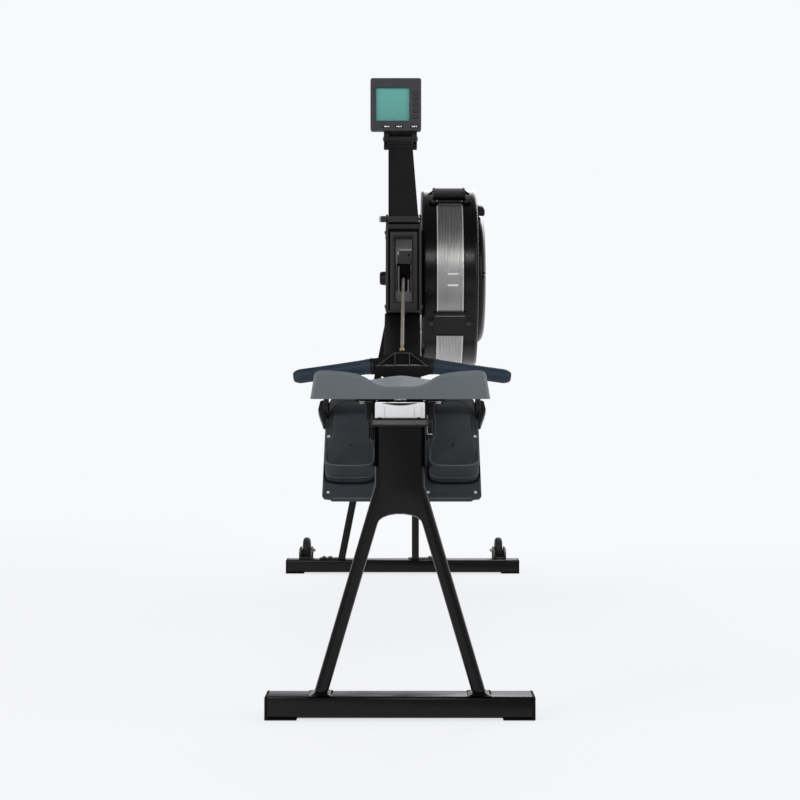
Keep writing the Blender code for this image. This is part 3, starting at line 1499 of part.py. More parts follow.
def front_leg():
    """A head under the chain housing, a raked left tube and an upright right one."""
    middle = front_bar_back() + BAR_DEPTH / 2
    half = FRONT_LEG_DEPTH / 2
    top = BOX_BOTTOM - GAP
    foot_z = BAR_TOP + GAP
    wide = FRONT_LEG_WIDTH / 2
    neck = top - FRONT_HEAD_HEIGHT
    rake = (LEFT_LEG_TOP_X - LEFT_LEG_FOOT_X) / (top - foot_z)
    left_at_neck = LEFT_LEG_TOP_X - rake * (top - neck)
    edge = RIGHT_LEG_X + wide
    outline = [
        (LEFT_LEG_FOOT_X - wide, foot_z),
        (LEFT_LEG_FOOT_X + wide, foot_z),
        (left_at_neck + wide, neck),
        (RIGHT_LEG_X - wide, neck),
        (RIGHT_LEG_X - wide, foot_z),
        (edge, foot_z),
        (edge, top),
        (LEFT_LEG_TOP_X - wide, top),
    ]
    leg = extruded("front_leg", [outline], middle - half, middle + half, "y")
    wall = LEG_WALL
    left_hollow = [
        (LEFT_LEG_FOOT_X - wide + wall + rake * -0.01, foot_z - 0.01),
        (LEFT_LEG_FOOT_X + wide - wall + rake * -0.01, foot_z - 0.01),
        (left_at_neck + wide - wall, neck),
        (left_at_neck - wide + wall, neck),
    ]
    cut(leg, extruded("left_tube_hollow", [left_hollow], middle - half + wall, middle + half - wall, "y"))
    right_hollow = block(
        "right_tube_hollow",
        (RIGHT_LEG_X - wide + wall, middle - half + wall, foot_z - 0.01),
        (edge - wall, middle + half - wall, neck),
    )
    finish(cut(leg, right_hollow), BLACK_STEEL)


def front_bar_back():
    """The front foot bar's back face; the leg stands on it just ahead of the beam's upper end."""
    beam_front = BEAM_CREST + BEAM_DEPTH / math.sin(BEAM_ANGLE)
    return beam_front + GAP + FRONT_LEG_DEPTH / 2 - BAR_DEPTH / 2 + 0.074


def caster(side, word):
    """A transport wheel between two ears at the front of the foot bar, clear of the floor."""
    back = front_bar_back()
    bar_front = back + BAR_DEPTH
    axle_y = bar_front + CASTER_REACH
    x = side * (FRONT_BAR_WIDTH / 2 - CASTER_INSET)
    half, ear = CASTER_EAR_HALF, CASTER_EAR
    outline = [
        (back + 0.018, BAR_TOP + GAP),
        (back + 0.018, BAR_TOP + 0.008),
        (bar_front, CASTER_HEIGHT + CASTER_EAR_ROUND),
        *arc((axle_y, CASTER_HEIGHT), CASTER_EAR_ROUND, 90, -90, 6),
        (bar_front + 0.004, BAR_TOP - 0.006),
        (bar_front + 0.004, BAR_TOP + GAP),
    ]
    base = block(
        f"caster_bracket_{word}",
        (x - half - ear, back + 0.018, BAR_TOP + GAP),
        (x + half + ear, bar_front - 0.004, BAR_TOP + GAP + ear),
    )
    for hand in (-1, 1):
        low, high = sorted((x + hand * half, x + hand * (half + ear)))
        join(base, extruded(f"caster_ear_{word}_{hand}", [outline], low, high, "x"))
    ends = (x - 0.05, axle_y, CASTER_HEIGHT), (x + 0.05, axle_y, CASTER_HEIGHT)
    finish(cut(base, rod(f"caster_bore_{word}", PIN_RADIUS + BORE_GAP, *ends, 16)), BLACK_PLASTIC)
    r, wide, end = CASTER_RADIUS, CASTER_WIDTH / 2, half + ear + 0.002
    right = [(wide, PIN_RADIUS), (wide, r * 0.70), (wide * 0.85, r * 0.90), (wide * 0.5, r * 0.985), (0, r)]
    left = [(-end, 0), (-end, PIN_RADIUS)] + [(-a, b) for a, b in right]
    profile = left + right[-2::-1] + [(end, PIN_RADIUS), (end, 0)]
    centre = (x, axle_y, CASTER_HEIGHT)
    wheel = finish(turned(f"caster_wheel_{word}", profile, centre, steps=24), RUBBER)
    carry(pivot(f"caster_pivot_{word}", centre), wheel)


def build():
    foot_bar("rear_foot_bar", REAR_BAR_WIDTH, REAR)
    foot_bar("front_foot_bar", FRONT_BAR_WIDTH, front_bar_back())
    rail()
    rear_leg()
    main_beam()
    front_leg()
    chain_housing()
    chain_guide()
    chain()
    shock_cord()
    sprocket()
    flywheel()
    flywheel_housing()
    damper()
    handle()
    handle_hook()
    pieces = [seat(), seat_carriage(), *seat_rollers()]
    middle, _, _ = carriage_span()
    carry(pivot("seat_pivot", (0, middle, RAIL_TOP)), *pieces)
    for side, word in ((-1, "left"), (1, "right")):
        footboard(side, word)
        shoe(side, word)
        strap(side, word)
        caster(side, word)
    monitor_arm()
    monitor()


build()
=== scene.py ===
import json
import math

import bmesh
import bpy
from mathutils import Matrix, Vector

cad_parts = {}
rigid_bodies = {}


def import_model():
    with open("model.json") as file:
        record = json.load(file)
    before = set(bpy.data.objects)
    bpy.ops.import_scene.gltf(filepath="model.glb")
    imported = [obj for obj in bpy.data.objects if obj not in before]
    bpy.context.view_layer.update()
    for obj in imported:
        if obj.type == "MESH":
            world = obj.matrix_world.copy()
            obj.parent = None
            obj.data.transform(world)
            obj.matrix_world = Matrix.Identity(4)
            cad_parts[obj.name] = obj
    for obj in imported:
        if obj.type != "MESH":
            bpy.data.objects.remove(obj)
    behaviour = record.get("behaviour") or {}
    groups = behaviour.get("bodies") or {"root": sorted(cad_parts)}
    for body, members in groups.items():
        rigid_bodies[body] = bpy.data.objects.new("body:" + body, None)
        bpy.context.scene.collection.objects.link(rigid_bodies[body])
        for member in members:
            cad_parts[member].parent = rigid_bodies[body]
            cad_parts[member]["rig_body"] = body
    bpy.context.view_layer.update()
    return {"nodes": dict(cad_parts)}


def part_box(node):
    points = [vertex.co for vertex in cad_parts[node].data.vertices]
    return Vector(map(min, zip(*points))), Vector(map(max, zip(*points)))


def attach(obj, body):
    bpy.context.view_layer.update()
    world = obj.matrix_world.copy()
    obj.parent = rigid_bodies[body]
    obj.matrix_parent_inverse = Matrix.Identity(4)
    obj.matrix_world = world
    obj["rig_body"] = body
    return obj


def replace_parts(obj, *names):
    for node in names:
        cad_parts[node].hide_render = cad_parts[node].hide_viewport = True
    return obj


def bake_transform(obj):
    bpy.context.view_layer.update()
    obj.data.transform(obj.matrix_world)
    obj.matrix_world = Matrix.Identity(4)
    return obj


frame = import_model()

scene = bpy.context.scene
nodes = frame["nodes"]
print("frame loaded")

# Small helpers for objects and node trees


def added(name, data):
    made = bpy.data.objects.new(name, data)
    scene.collection.objects.link(made)
    return made


def spanOf(node):
    # A node's lowest corner, its highest corner and its middle
    low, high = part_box(node)
    return low, high, Vector([(a + b) / 2 for a, b in zip(low, high)])


def bodyOf(node):
    return nodes[node]["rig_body"]


def fill(tree, made, sockets):
    # n0 is the first socket; a node stands for its first output, and a list is linked in turn
    for label, value in sockets.items():
        socket = made.inputs[int(label[1:]) if label[1:].isdigit() else label.replace("_", " ")]
        for item in value if isinstance(value, list) else [value]:
            item = item.outputs[0] if isinstance(item, bpy.types.Node) else item
            if isinstance(item, bpy.types.NodeSocket):
                tree.links.new(item, socket)
            else:
                socket.default_value = item
    return made


def step(tree, kind, settings=None, **sockets):
    made = tree.nodes.new(kind)
    for key, value in (settings or {}).items():
        setattr(made, key, value)
    return fill(tree, made, sockets)


def maths(tree, operation, *values):
    sockets = {f"n{i}": value for i, value in enumerate(values)}
    return step(tree, "ShaderNodeMath", {"operation": operation}, **sockets)


def vector(tree, **parts):
    return step(tree, "ShaderNodeCombineXYZ", **parts)


def ranged(tree, value, low, high, toLow=0.0, toHigh=1.0, kind="LINEAR"):
    return step(
        tree, "ShaderNodeMapRange", {"interpolation_type": kind}, Value=value, From_Min=low, From_Max=high,
        To_Min=toLow, To_Max=toHigh,
    )


def mixedColours(tree, factor, first, second):
    first, second = ((*colour, 1) if isinstance(colour, tuple) else colour for colour in (first, second))
    made = step(tree, "ShaderNodeMix", {"data_type": "RGBA"}, A=first, B=second, Factor=factor)
    return made.outputs["Result"]


# Camera, lights and the pale room

cameraSetup = {"place": (0.009, -3.9496, 0.503), "lens": 82.98, "shiftX": -0.0075, "shiftY": -0.02375}

roomSetup = {
    "backdrop": (0.939, 0.947, 0.973),  # what the camera sees where there is nothing
    "gloss": (                          # what gloss sees on the near side, by height from -1 to 1
        (-1.0, 0.05), (-0.06, 0.08), (0.14, 0.22), (0.26, 0.34), (0.38, 0.24), (0.62, 0.10), (1.0, 0.12),
    ),
    "glossBlue": 1.03,                  # how much bluer than grey that is
    "sky": 0.50,                        # the soft light from all round
    "floorPaint": (0.80, 0.80, 0.805),
    "floorShade": 0.24,                 # how much of the floor's own shading the camera sees
    "floorHalf": 14,
    "shadeReach": (1.3, 3.4),           # where that shading starts to fade, and where it is gone
}

softboxes = {  # place, what it points at, width, height, watts
    "boxLeft": ((-2.6, -2.3, 2.3), (0, -0.2, 0.5), 1.6, 2.2, 46),
    "boxRight": ((2.9, -1.4, 1.9), (0, 0.2, 0.5), 1.4, 2.0, 30),
    "boxFront": ((0.2, -5.4, 3.7), (0, 0.4, 0.8), 1.8, 1.1, 58),
    "boxTop": ((0.1, 2.7, 3.3), (0, 0.4, 0.4), 2.2, 1.6, 44),
    "boxBack": ((0.8, 3.4, 2.2), (0, 0.8, 0.7), 2.2, 1.6, 34),
}
mattLights = ("boxTop",)  # lights that gloss doesn't mirror


def makeCamera():
    data = bpy.data.cameras.new("camera")
    data.lens = cameraSetup["lens"]
    data.shift_x, data.shift_y = cameraSetup["shiftX"], cameraSetup["shiftY"]
    data.clip_end = 60
    camera = added("camera", data)
    camera.location = cameraSetup["place"]
    camera.rotation_euler = (math.radians(90), 0, 0)
    scene.camera = camera


def seenDirectly(tree):
    # 1 for the camera, for gloss and for glass, and 0 for the light that falls on things
    path = step(tree, "ShaderNodeLightPath")
    first = maths(tree, "MAXIMUM", path.outputs["Is Camera Ray"], path.outputs["Is Glossy Ray"])
    return path, maths(tree, "MAXIMUM", first, path.outputs["Is Transmission Ray"])


def makeWorld():
    world = bpy.data.worlds.new("room")
    scene.world = world
    world.use_nodes = True
    tree = world.node_tree
    tree.nodes.clear()
    light = step(tree, "ShaderNodeBackground", Color=(1, 1, 1, 1), Strength=roomSetup["sky"])
    split = step(tree, "ShaderNodeSeparateXYZ", n0=step(tree, "ShaderNodeTexCoord").outputs["Generated"])
    # gloss sees the backdrop low on the far side, and a dim gradient everywhere else
    behind = ranged(tree, split.outputs["Y"], 0.05, 0.75, kind="SMOOTHSTEP")
    level = ranged(tree, split.outputs["Z"], 0.15, 0.60, 1.0, 0.25, "SMOOTHSTEP")
    path, direct = seenDirectly(tree)
    lit = maths(tree, "MULTIPLY", behind, level)
    anywhere = maths(tree, "MAXIMUM", path.outputs["Is Camera Ray"], lit)
    near = step(tree, "ShaderNodeValToRGB", Fac=ranged(tree, split.outputs["Z"], -1.0, 1.0))
    stops = near.color_ramp.elements
    while len(stops) < len(roomSetup["gloss"]):
        stops.new(0.5)
    for stop, (z, shade) in zip(stops, roomSetup["gloss"]):
        stop.position = (z + 1) / 2
        stop.color = (shade, shade, shade * roomSetup["glossBlue"], 1)
    tint = mixedColours(tree, anywhere, near.outputs["Color"], roomSetup["backdrop"])
    shown = step(tree, "ShaderNodeBackground", Color=tint)
    step(tree, "ShaderNodeOutputWorld", n0=step(tree, "ShaderNodeMixShader", n0=direct, n1=light, n2=shown))


def makeLights():
    for name, (place, target, width, height, watts) in softboxes.items():
        data = bpy.data.lights.new(name, "AREA")
        data.shape = "RECTANGLE"
        data.size, data.size_y, data.energy = width, height, watts
        box = added(name, data)
        aim = (Vector(target) - Vector(place)).to_track_quat("-Z", "Y").to_matrix().to_4x4()
        box.matrix_world = Matrix.Translation(place) @ aim
        box.visible_glossy = name not in mattLights


def makeFloor():
    half = roomSetup["floorHalf"]
    mesh = bpy.data.meshes.new("floor")
    corners = [(-half, -half, 0), (half, -half, 0), (half, half, 0), (-half, half, 0)]
    mesh.from_pydata(corners, [], [(0, 1, 2, 3)])
    floor = added("floor", mesh)
    floor.location.z = -0.0003
    paint = bpy.data.materials.new("floorPaint")
    paint.use_nodes = True
    tree = paint.node_tree
    tree.nodes.clear()
    matt = step(tree, "ShaderNodeBsdfDiffuse", Color=(*roomSetup["floorPaint"], 1))
    glow = step(tree, "ShaderNodeEmission", Color=(*roomSetup["backdrop"], 1), Strength=1.0)
    place = step(tree, "ShaderNodeTexCoord").outputs["Object"]
    reach = step(tree, "ShaderNodeVectorMath", {"operation": "LENGTH"}, n0=place)
    shaded = 1 - roomSetup["floorShade"]
    fade = ranged(tree, reach.outputs["Value"], *roomSetup["shadeReach"], shaded, 1.0, "SMOOTHSTEP")
    share = maths(tree, "MULTIPLY", seenDirectly(tree)[1], fade)
    step(tree, "ShaderNodeOutputMaterial", n0=step(tree, "ShaderNodeMixShader", n0=share, n1=matt, n2=glow))
    mesh.materials.append(paint)


makeCamera()
makeWorld()
makeLights()
makeFloor()
scene.view_settings.view_transform = "Standard"
print("camera, lights and floor made")

# Finishes

finishRows = {
    # colour, worn colour, mottle, lowest and highest roughness, grain, bump, its depth in mm, specular,
    # metallic, scuffs
    "powderBlack": (
        0.0036, 0.0036, 0.0037, 0.0062, 0.0062, 0.0064, 14, 0.44, 0.6, 1300, 0.35, 0.18, 0.13, 0, 0.04,
    ),
    "tubeBlack": (
        0.0022, 0.0022, 0.0023, 0.004, 0.004, 0.0042, 14, 0.24, 0.33, 1300, 0.16, 0.15, 0.22, 0, 0.04,
    ),
    "armBlack": (
        0.0036, 0.0037, 0.0039, 0.0062, 0.0063, 0.0066, 14, 0.46, 0.6, 1400, 0.3, 0.15, 0.16, 0, 0.03,
    ),
    "mouldedBlack": (
        0.0078, 0.0078, 0.0082, 0.012, 0.012, 0.0125, 14, 0.36, 0.48, 1700, 0.3, 0.15, 0.22, 0, 0,
    ),
    # deepBlack is also painted shade, in the guide hood's hole and the groove round the window frame
    "deepBlack": (0.0016, 0.0016, 0.0017, 0.003, 0.003, 0.0031, 14, 0.5, 0.62, 1700, 0.3, 0.15, 0.03, 0, 0),
    "housingBlack": (0.02, 0.0202, 0.02, 0.027, 0.0272, 0.0268, 14, 0.4, 0.52, 1500, 0.3, 0.15, 0.24, 0, 0),
    "glossBlack": (
        0.0026, 0.0026, 0.003, 0.0046, 0.0046, 0.0053, 14, 0.2, 0.28, 130, 0.05, 0.1, 0.22, 0, 0.02,
    ),
    "anodised": (0.3, 0.31, 0.32, 0.38, 0.39, 0.4, 6, 0.32, 0.44, 34, 0.1, 0.08, 0.5, 1, 0),
    "polishedTrack": (0.62, 0.63, 0.64, 0.52, 0.53, 0.54, 9, 0.14, 0.3, 40, 0.08, 0.06, 0.5, 1, 0.1),
    "whitePlastic": (0.74, 0.745, 0.755, 0.68, 0.685, 0.695, 14, 0.36, 0.46, 900, 0.12, 0.2, 0.3, 0, 0),
    "rubberBlack": (
        0.0046, 0.0046, 0.0049, 0.009, 0.009, 0.0094, 14, 0.66, 0.86, 800, 0.45, 0.3, 0.12, 0, 0,
    ),
    "gripNavy": (0.0125, 0.0245, 0.041, 0.02, 0.035, 0.054, 30, 0.46, 0.62, 1200, 0.4, 0.2, 0.3, 0, 0),
    "brass": (0.6, 0.43, 0.2, 0.46, 0.32, 0.15, 60, 0.22, 0.38, 500, 0.1, 0.06, 0.5, 1, 0),
    "chainSteel": (0.46, 0.44, 0.38, 0.3, 0.28, 0.23, 120, 0.24, 0.42, 700, 0.12, 0.06, 0.5, 1, 0),
    "slateBoard": (0.04, 0.0445, 0.052, 0.048, 0.053, 0.061, 16, 0.5, 0.64, 1300, 0.4, 0.2, 0.12, 0, 0.06),
    "slateInsert": (
        0.034, 0.0385, 0.045, 0.042, 0.047, 0.054, 20, 0.46, 0.6, 1300, 0.35, 0.2, 0.16, 0, 0.05,
    ),
    # slateEdge: a lighter slate for edges, partly painted highlight on the shoe insert's rims
    "slateEdge": (0.1, 0.108, 0.12, 0.072, 0.078, 0.088, 24, 0.4, 0.54, 1300, 0.3, 0.2, 0.3, 0, 0),
    "caseGrey": (
        0.035, 0.0355, 0.0395, 0.043, 0.0435, 0.0475, 18, 0.44, 0.56, 1800, 0.45, 0.18, 0.26, 0, 0,
    ),
    "buttonGrey": (0.02, 0.0205, 0.023, 0.026, 0.0265, 0.029, 60, 0.5, 0.62, 1500, 0.25, 0.2, 0.3, 0, 0),
    # paleMark: the pale of printed marks, and painted highlight on the guide hood's edge
    "paleMark": (0.88, 0.89, 0.88, 0.8, 0.81, 0.8, 200, 0.45, 0.6, 1500, 0.1, 0.2, 0.5, 0, 0),
    "stainless": (0.62, 0.62, 0.61, 0.5, 0.5, 0.49, 90, 0.2, 0.34, 420, 0.1, 0.06, 0.5, 1, 0),
    "blackBolt": (0.02, 0.02, 0.021, 0.034, 0.034, 0.035, 90, 0.28, 0.42, 900, 0.15, 0.1, 0.5, 0, 0),
    "screenSteel": (0.6, 0.6, 0.59, 0.42, 0.42, 0.41, 8, 0.34, 0.5, 9, 0.06, 0.06, 0.5, 1, 0),
    # edgeSteel is painted highlight: a paler, less metallic steel for the band's bright edges
    "edgeSteel": (0.74, 0.74, 0.74, 0.62, 0.62, 0.62, 12, 0.3, 0.42, 20, 0.06, 0.06, 0.5, 0.55, 0),
    "vaneAluminium": (0.52, 0.53, 0.54, 0.42, 0.43, 0.44, 22, 0.3, 0.46, 260, 0.15, 0.1, 0.5, 1, 0),
    "tyreRubber": (
        0.0125, 0.0125, 0.013, 0.022, 0.022, 0.0225, 40, 0.48, 0.66, 1100, 0.35, 0.2, 0.25, 0, 0.1,
    ),
    # windowGrey is painted light: a grey lifted to stand in for light falling into the window, and painted
    # groove shade on the rail cap
    "windowGrey": (0.44, 0.44, 0.435, 0.5, 0.5, 0.495, 30, 0.45, 0.58, 1100, 0.2, 0.2, 0.3, 0, 0),
    # hoodGrey: a mid grey for real parts such as stitches, lifted as painted light on the guide hood, and
    # used for painted rib highlights on the yoke
    "hoodGrey": (0.085, 0.085, 0.088, 0.11, 0.11, 0.113, 30, 0.42, 0.56, 1100, 0.2, 0.2, 0.3, 0, 0),
    # ribGrey also paints the highlight line on the lower bracket
    "ribGrey": (0.15, 0.15, 0.148, 0.2, 0.2, 0.197, 40, 0.42, 0.56, 1200, 0.2, 0.2, 0.3, 0, 0),
    "paleZinc": (0.56, 0.56, 0.53, 0.44, 0.44, 0.41, 120, 0.34, 0.48, 700, 0.12, 0.06, 0.5, 0.35, 0),
    "boltBright": (0.86, 0.87, 0.87, 0.66, 0.67, 0.67, 160, 0.3, 0.45, 700, 0.12, 0.06, 0.5, 0.15, 0),
    "rollerWhite": (0.62, 0.63, 0.62, 0.5, 0.51, 0.5, 60, 0.34, 0.5, 900, 0.12, 0.2, 0.4, 0, 0),
    "plateGrey": (0.105, 0.105, 0.103, 0.13, 0.13, 0.127, 30, 0.42, 0.56, 1100, 0.2, 0.2, 0.3, 0, 0),
}
brushed = {  # metals with a grain drawn out along one way
    "anodised": (30, 0.5, 30), "polishedTrack": (40, 0.4, 40), "screenSteel": (70, 0.4, 0.4),
    "edgeSteel": (40, 0.5, 0.5),
}
finishes = {}


def blankFinish(name, **sockets):
    made = bpy.data.materials.new(name)
    made.use_nodes = True
    finishes[name] = made
    tree = made.node_tree
    return tree, fill(tree, tree.nodes["Principled BSDF"], sockets)


def scaledPlace(tree, stretch=(1, 1, 1), turn=(0, 0, 0)):
    place = step(tree, "ShaderNodeTexCoord").outputs["Object"]
    return step(tree, "ShaderNodeMapping", Scale=stretch, Rotation=turn, Vector=place)


def noiseOf(tree, place, scale, detail=3.0, roughness=0.55):
    return step(tree, "ShaderNodeTexNoise", Scale=scale, Detail=detail, Roughness=roughness, Vector=place)


def raised(tree, shader, height, strength, distance):
    made = step(tree, "ShaderNodeBump", Strength=strength, Distance=distance, Height=height)
    fill(tree, shader, {"Normal": made})


def surface(name, row, stretch=(1, 1, 1)):
    # A colour that wanders a little towards a worn one, a fine grain, and faint scuffs
    colour, worn = row[:3], row[3:6]
    mottle, smooth, rough, grain, bump, depth, specular, metallic, scuffs = row[6:]
    tree, shader = blankFinish(name, Metallic=metallic, Specular_IOR_Level=specular)
    broad = noiseOf(tree, scaledPlace(tree), mottle, 4.0)
    mixed = mixedColours(tree, ranged(tree, broad, 0.35, 0.70), colour, worn)
    fine = noiseOf(tree, scaledPlace(tree, stretch), grain, 2.0)
    if scuffs:
        marks = noiseOf(tree, scaledPlace(tree, (3, 60, 60), (0.4, 0.2, 0.9)), 9.0, 5.0, 0.7)
        lighter = tuple(min(1.0, c * 2.2 + 0.02) for c in worn)
        mixed = mixedColours(tree, ranged(tree, marks, 0.66, 0.74, 0.0, scuffs), mixed, lighter)
    fill(tree, shader, {"Base Color": mixed, "Roughness": ranged(tree, fine, 0.30, 0.70, smooth, rough)})
    raised(tree, shader, fine, bump, depth / 1000)


def speckledSeat():
    tree, shader = blankFinish("speckledSeat", Specular_IOR_Level=0.28)
    place = scaledPlace(tree)
    broad = ranged(tree, noiseOf(tree, place, 7.0, 3.0), 0.3, 0.7)
    colour = mixedColours(tree, broad, (0.112, 0.131, 0.148), (0.130, 0.150, 0.168))
    specks = step(tree, "ShaderNodeTexVoronoi", Scale=620, Vector=place)
    light = ranged(tree, specks.outputs["Distance"], 0.10, 0.26, 0.34, 0.0)
    colour = mixedColours(tree, light, colour, (0.30, 0.32, 0.34))
    dark = ranged(tree, noiseOf(tree, place, 900, 1.0), 0.64, 0.72, 0.0, 0.42)
    colour = mixedColours(tree, dark, colour, (0.050, 0.058, 0.066))
    pebble = noiseOf(tree, place, 1100, 2.0)
    fill(tree, shader, {"Base Color": colour, "Roughness": ranged(tree, pebble, 0.3, 0.7, 0.52, 0.68)})
    raised(tree, shader, pebble, 0.45, 0.0003)


def wovenStrap():
    # Warp and weft from the strap's own map: u runs across it and v along it
    tree, shader = blankFinish(
        "wovenStrap", Roughness=0.85, Specular_IOR_Level=0.15, Sheen_Weight=0.15, Sheen_Roughness=0.5
    )
    place = step(tree, "ShaderNodeTexCoord").outputs["UV"]
    warp, weft = (
        step(
            tree, "ShaderNodeTexWave", {"bands_direction": direction}, Scale=size / 6.2832, Distortion=0.6,
            Vector=place,
        ).outputs["Fac"] for direction, size in (("X", 26), ("Y", 210))
    )
    cloth = maths(tree, "MULTIPLY", warp, weft)
    fluff = ranged(tree, noiseOf(tree, scaledPlace(tree), 700, 3.0), 0.3, 0.7)
    shade = mixedColours(tree, fluff, (0.0080, 0.0080, 0.0088), (0.0170, 0.0170, 0.0180))
    fill(tree, shader, {"Base Color": mixedColours(tree, cloth, shade, (0.030, 0.030, 0.032))})
    raised(tree, shader, cloth, 0.6, 0.0006)


def tealDisplay():
    tree, shader = blankFinish("tealDisplay", Coat_Weight=0.6, Coat_Roughness=0.06)
    place = scaledPlace(tree)
    low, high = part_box("monitor_screen")
    rising = ranged(tree, step(tree, "ShaderNodeSeparateXYZ", n0=place).outputs["Z"], low.z, high.z)
    colour = mixedColours(tree, rising, (0.085, 0.300, 0.270), (0.100, 0.365, 0.335))
    film = ranged(tree, noiseOf(tree, place, 60, 3.0), 0.3, 0.7, 0.0, 0.10)
    colour = mixedColours(tree, film, colour, (0.130, 0.420, 0.390))
    cells = step(tree, "ShaderNodeTexChecker", Scale=1500, Vector=place)
    faint = ranged(tree, cells.outputs["Fac"], 0.0, 1.0, 0.0, 0.05)
    colour = mixedColours(tree, faint, colour, (0.05, 0.2, 0.18))
    gloss = ranged(tree, noiseOf(tree, place, 400, 2.0), 0.3, 0.7, 0.24, 0.34)
    fill(tree, shader, {"Base Color": colour, "Roughness": gloss})


for name, row in finishRows.items():
    surface(name, row, brushed.get(name, (1, 1, 1)))
speckledSeat()
wovenStrap()
tealDisplay()
print("finishes made")

# Ways to make a piece


def newPiece(name, mesh, finish, smooth=35):
    mesh.materials.clear()
    mesh.materials.append(finishes[finish])
    mesh.shade_smooth()
    if smooth:
        mesh.set_sharp_from_angle(angle=math.radians(smooth))
    return added(name, mesh)


def meshOf(shape, name, outwards=True):
    if outwards:
        bmesh.ops.recalc_face_normals(shape, faces=shape.faces)
    mesh = bpy.data.meshes.new(name)
    shape.to_mesh(mesh)
    shape.free()
    return mesh


def standsFor(piece, node):
    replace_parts(piece, node)
    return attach(piece, bodyOf(node))


def eased(piece, width, segments=2):
    ease = piece.modifiers.new("easedEdges", "BEVEL")
    ease.width = width
    ease.segments = segments
    ease.limit_method = "ANGLE"
    ease.angle_limit = math.radians(32)
    ease.harden_normals = True
    return ease


def softened(node, name, width, finish, segments=2, flat=1.0, clamp=True):
    # A CAD node's shape, merged, with every hard edge eased
    shape = bmesh.new()
    shape.from_mesh(nodes[node].data)
    bmesh.ops.remove_doubles(shape, verts=shape.verts, dist=2e-5)
    if flat:
        bmesh.ops.dissolve_limit(
            shape, angle_limit=math.radians(flat), verts=shape.verts, edges=shape.edges
        )
    piece = newPiece(name, meshOf(shape, name, False), finish, 0)
    ease = eased(piece, width, segments)
    ease.miter_outer = "MITER_ARC" if clamp else "MITER_SHARP"
    ease.use_clamp_overlap = clamp
    return standsFor(piece, node)


axisTurns = {
    "x": Matrix(((0, 0, 1), (1, 0, 0), (0, 1, 0))),
    "y": Matrix(((1, 0, 0), (0, 0, -1), (0, 1, 0))),
    "z": Matrix.Identity(3),
}


def filleted(points, radii, closed=True, steps=4):
    # An outline with its corners rounded, each by its own radius
    made = []
    count = len(points)
    for index, point in enumerate(points):
        radius = radii[index] if isinstance(radii, (list, tuple)) else radii
        here = Vector(point)
        if radius <= 0 or (not closed and index in (0, count - 1)):
            made.append(tuple(here))
            continue
        before = Vector(points[index - 1]) - here
        after = Vector(points[(index + 1) % count]) - here
        reach = min(radius / math.tan(before.angle(after) / 2), before.length * 0.48, after.length * 0.48)
        start, end = here + before.normalized() * reach, here + after.normalized() * reach
        for share in range(steps + 1):
            t = share / steps
            made.append(tuple(start * (1 - t) ** 2 + here * (2 * t * (1 - t)) + end * t * t))
    return made


def rectangle(low, high, radius=0.0, steps=4):
    (x0, y0), (x1, y1) = low, high
    return filleted([(x0, y0), (x1, y0), (x1, y1), (x0, y1)], radius, True, steps)


def wrapped(shape, first, second):
    # The faces between two rings, either of which may be a single point
    count = max(len(first), len(second))
    for index in range(count):
        following = (index + 1) % count
        corners = [first[index % len(first)], first[following % len(first)]]
        corners += [second[following % len(second)], second[index % len(second)]]
        unique = list(dict.fromkeys(corners))
        if len(unique) > 2:
            shape.faces.new(unique)


def lathed(name, profile, centre, axis, steps, finish, closed=False, smooth=35, turn=None):
    # A profile of (along, radius) turned round an axis; open profiles run from pole to pole
    shape = bmesh.new()
    rings = []
    for along, radius in profile:
        turns = [2 * math.pi * index / steps for index in range(steps if radius >= 1e-7 else 1)]
        reach = radius if radius >= 1e-7 else 0
        spots = [Vector((reach * math.cos(a), reach * math.sin(a), along)) for a in turns]
        rings.append([shape.verts.new(axisTurns[axis] @ spot) for spot in spots])
    for first, second in zip(rings, rings[1:] + (rings[:1] if closed else [])):
        wrapped(shape, first, second)
    if turn is not None:
        bmesh.ops.transform(shape, matrix=turn, verts=shape.verts)
    bmesh.ops.translate(shape, vec=Vector(centre), verts=shape.verts)
    return newPiece(name, meshOf(shape, name), finish, smooth)


def prism(name, outline, low, high, axis, finish, ease=0.0, segments=2, frameOf=None):
    # An outline drawn out along an axis: (y, z) along x, (x, z) along y, (x, y) along z
    shape = bmesh.new()
    ends = []
    for along in (low, high):
        if axis == "y":
            ends.append([shape.verts.new((u, along, v)) for u, v in outline])
        else:
            ends.append([shape.verts.new(axisTurns[axis] @ Vector((u, v, along))) for u, v in outline])
    shape.faces.new(ends[0])
    shape.faces.new(ends[1])
    wrapped(shape, *ends)
    if frameOf is not None:
        bmesh.ops.transform(shape, matrix=frameOf, verts=shape.verts)
    piece = newPiece(name, meshOf(shape, name), finish, 0)
    if ease:
        eased(piece, ease, segments)
    return piece


def slab(name, low, high, finish, ease=0.0006, segments=2):
    # A block between two corners, with eased edges
    return prism(name, rectangle(low[:2], high[:2]), low[2], high[2], "z", finish, ease, segments)


def stud(name, start, end, radius, finish, dome=0.0, steps=24, ease=0.0004):
    # A round bar from one point to another; its far end may be domed
    start, end = Vector(start), Vector(end)
    length = (end - start).length
    turn = (end - start).to_track_quat("Z", "Y").to_matrix().to_4x4()
    profile = [(0, 0), (0, radius - ease), (ease, radius)]
    if dome:
        for index in range(6):
            a = math.radians(15 * index)
            profile.append((length - dome + dome * math.sin(a), radius * math.cos(a)))
        profile.append((length, 0))
    else:
        profile += [(length - ease, radius), (length, radius - ease), (length, 0)]
    return lathed(name, profile, start, "z", steps, finish, turn=turn)


def plainCopy(piece, name):
    # The piece with its modifiers applied, as a new mesh
    bpy.context.view_layer.update()
    graph = bpy.context.evaluated_depsgraph_get()
    mesh = bpy.data.meshes.new_from_object(piece.evaluated_get(graph))
    mesh.name = name
    bpy.data.objects.remove(piece, do_unlink=True)
    return added(name, mesh)


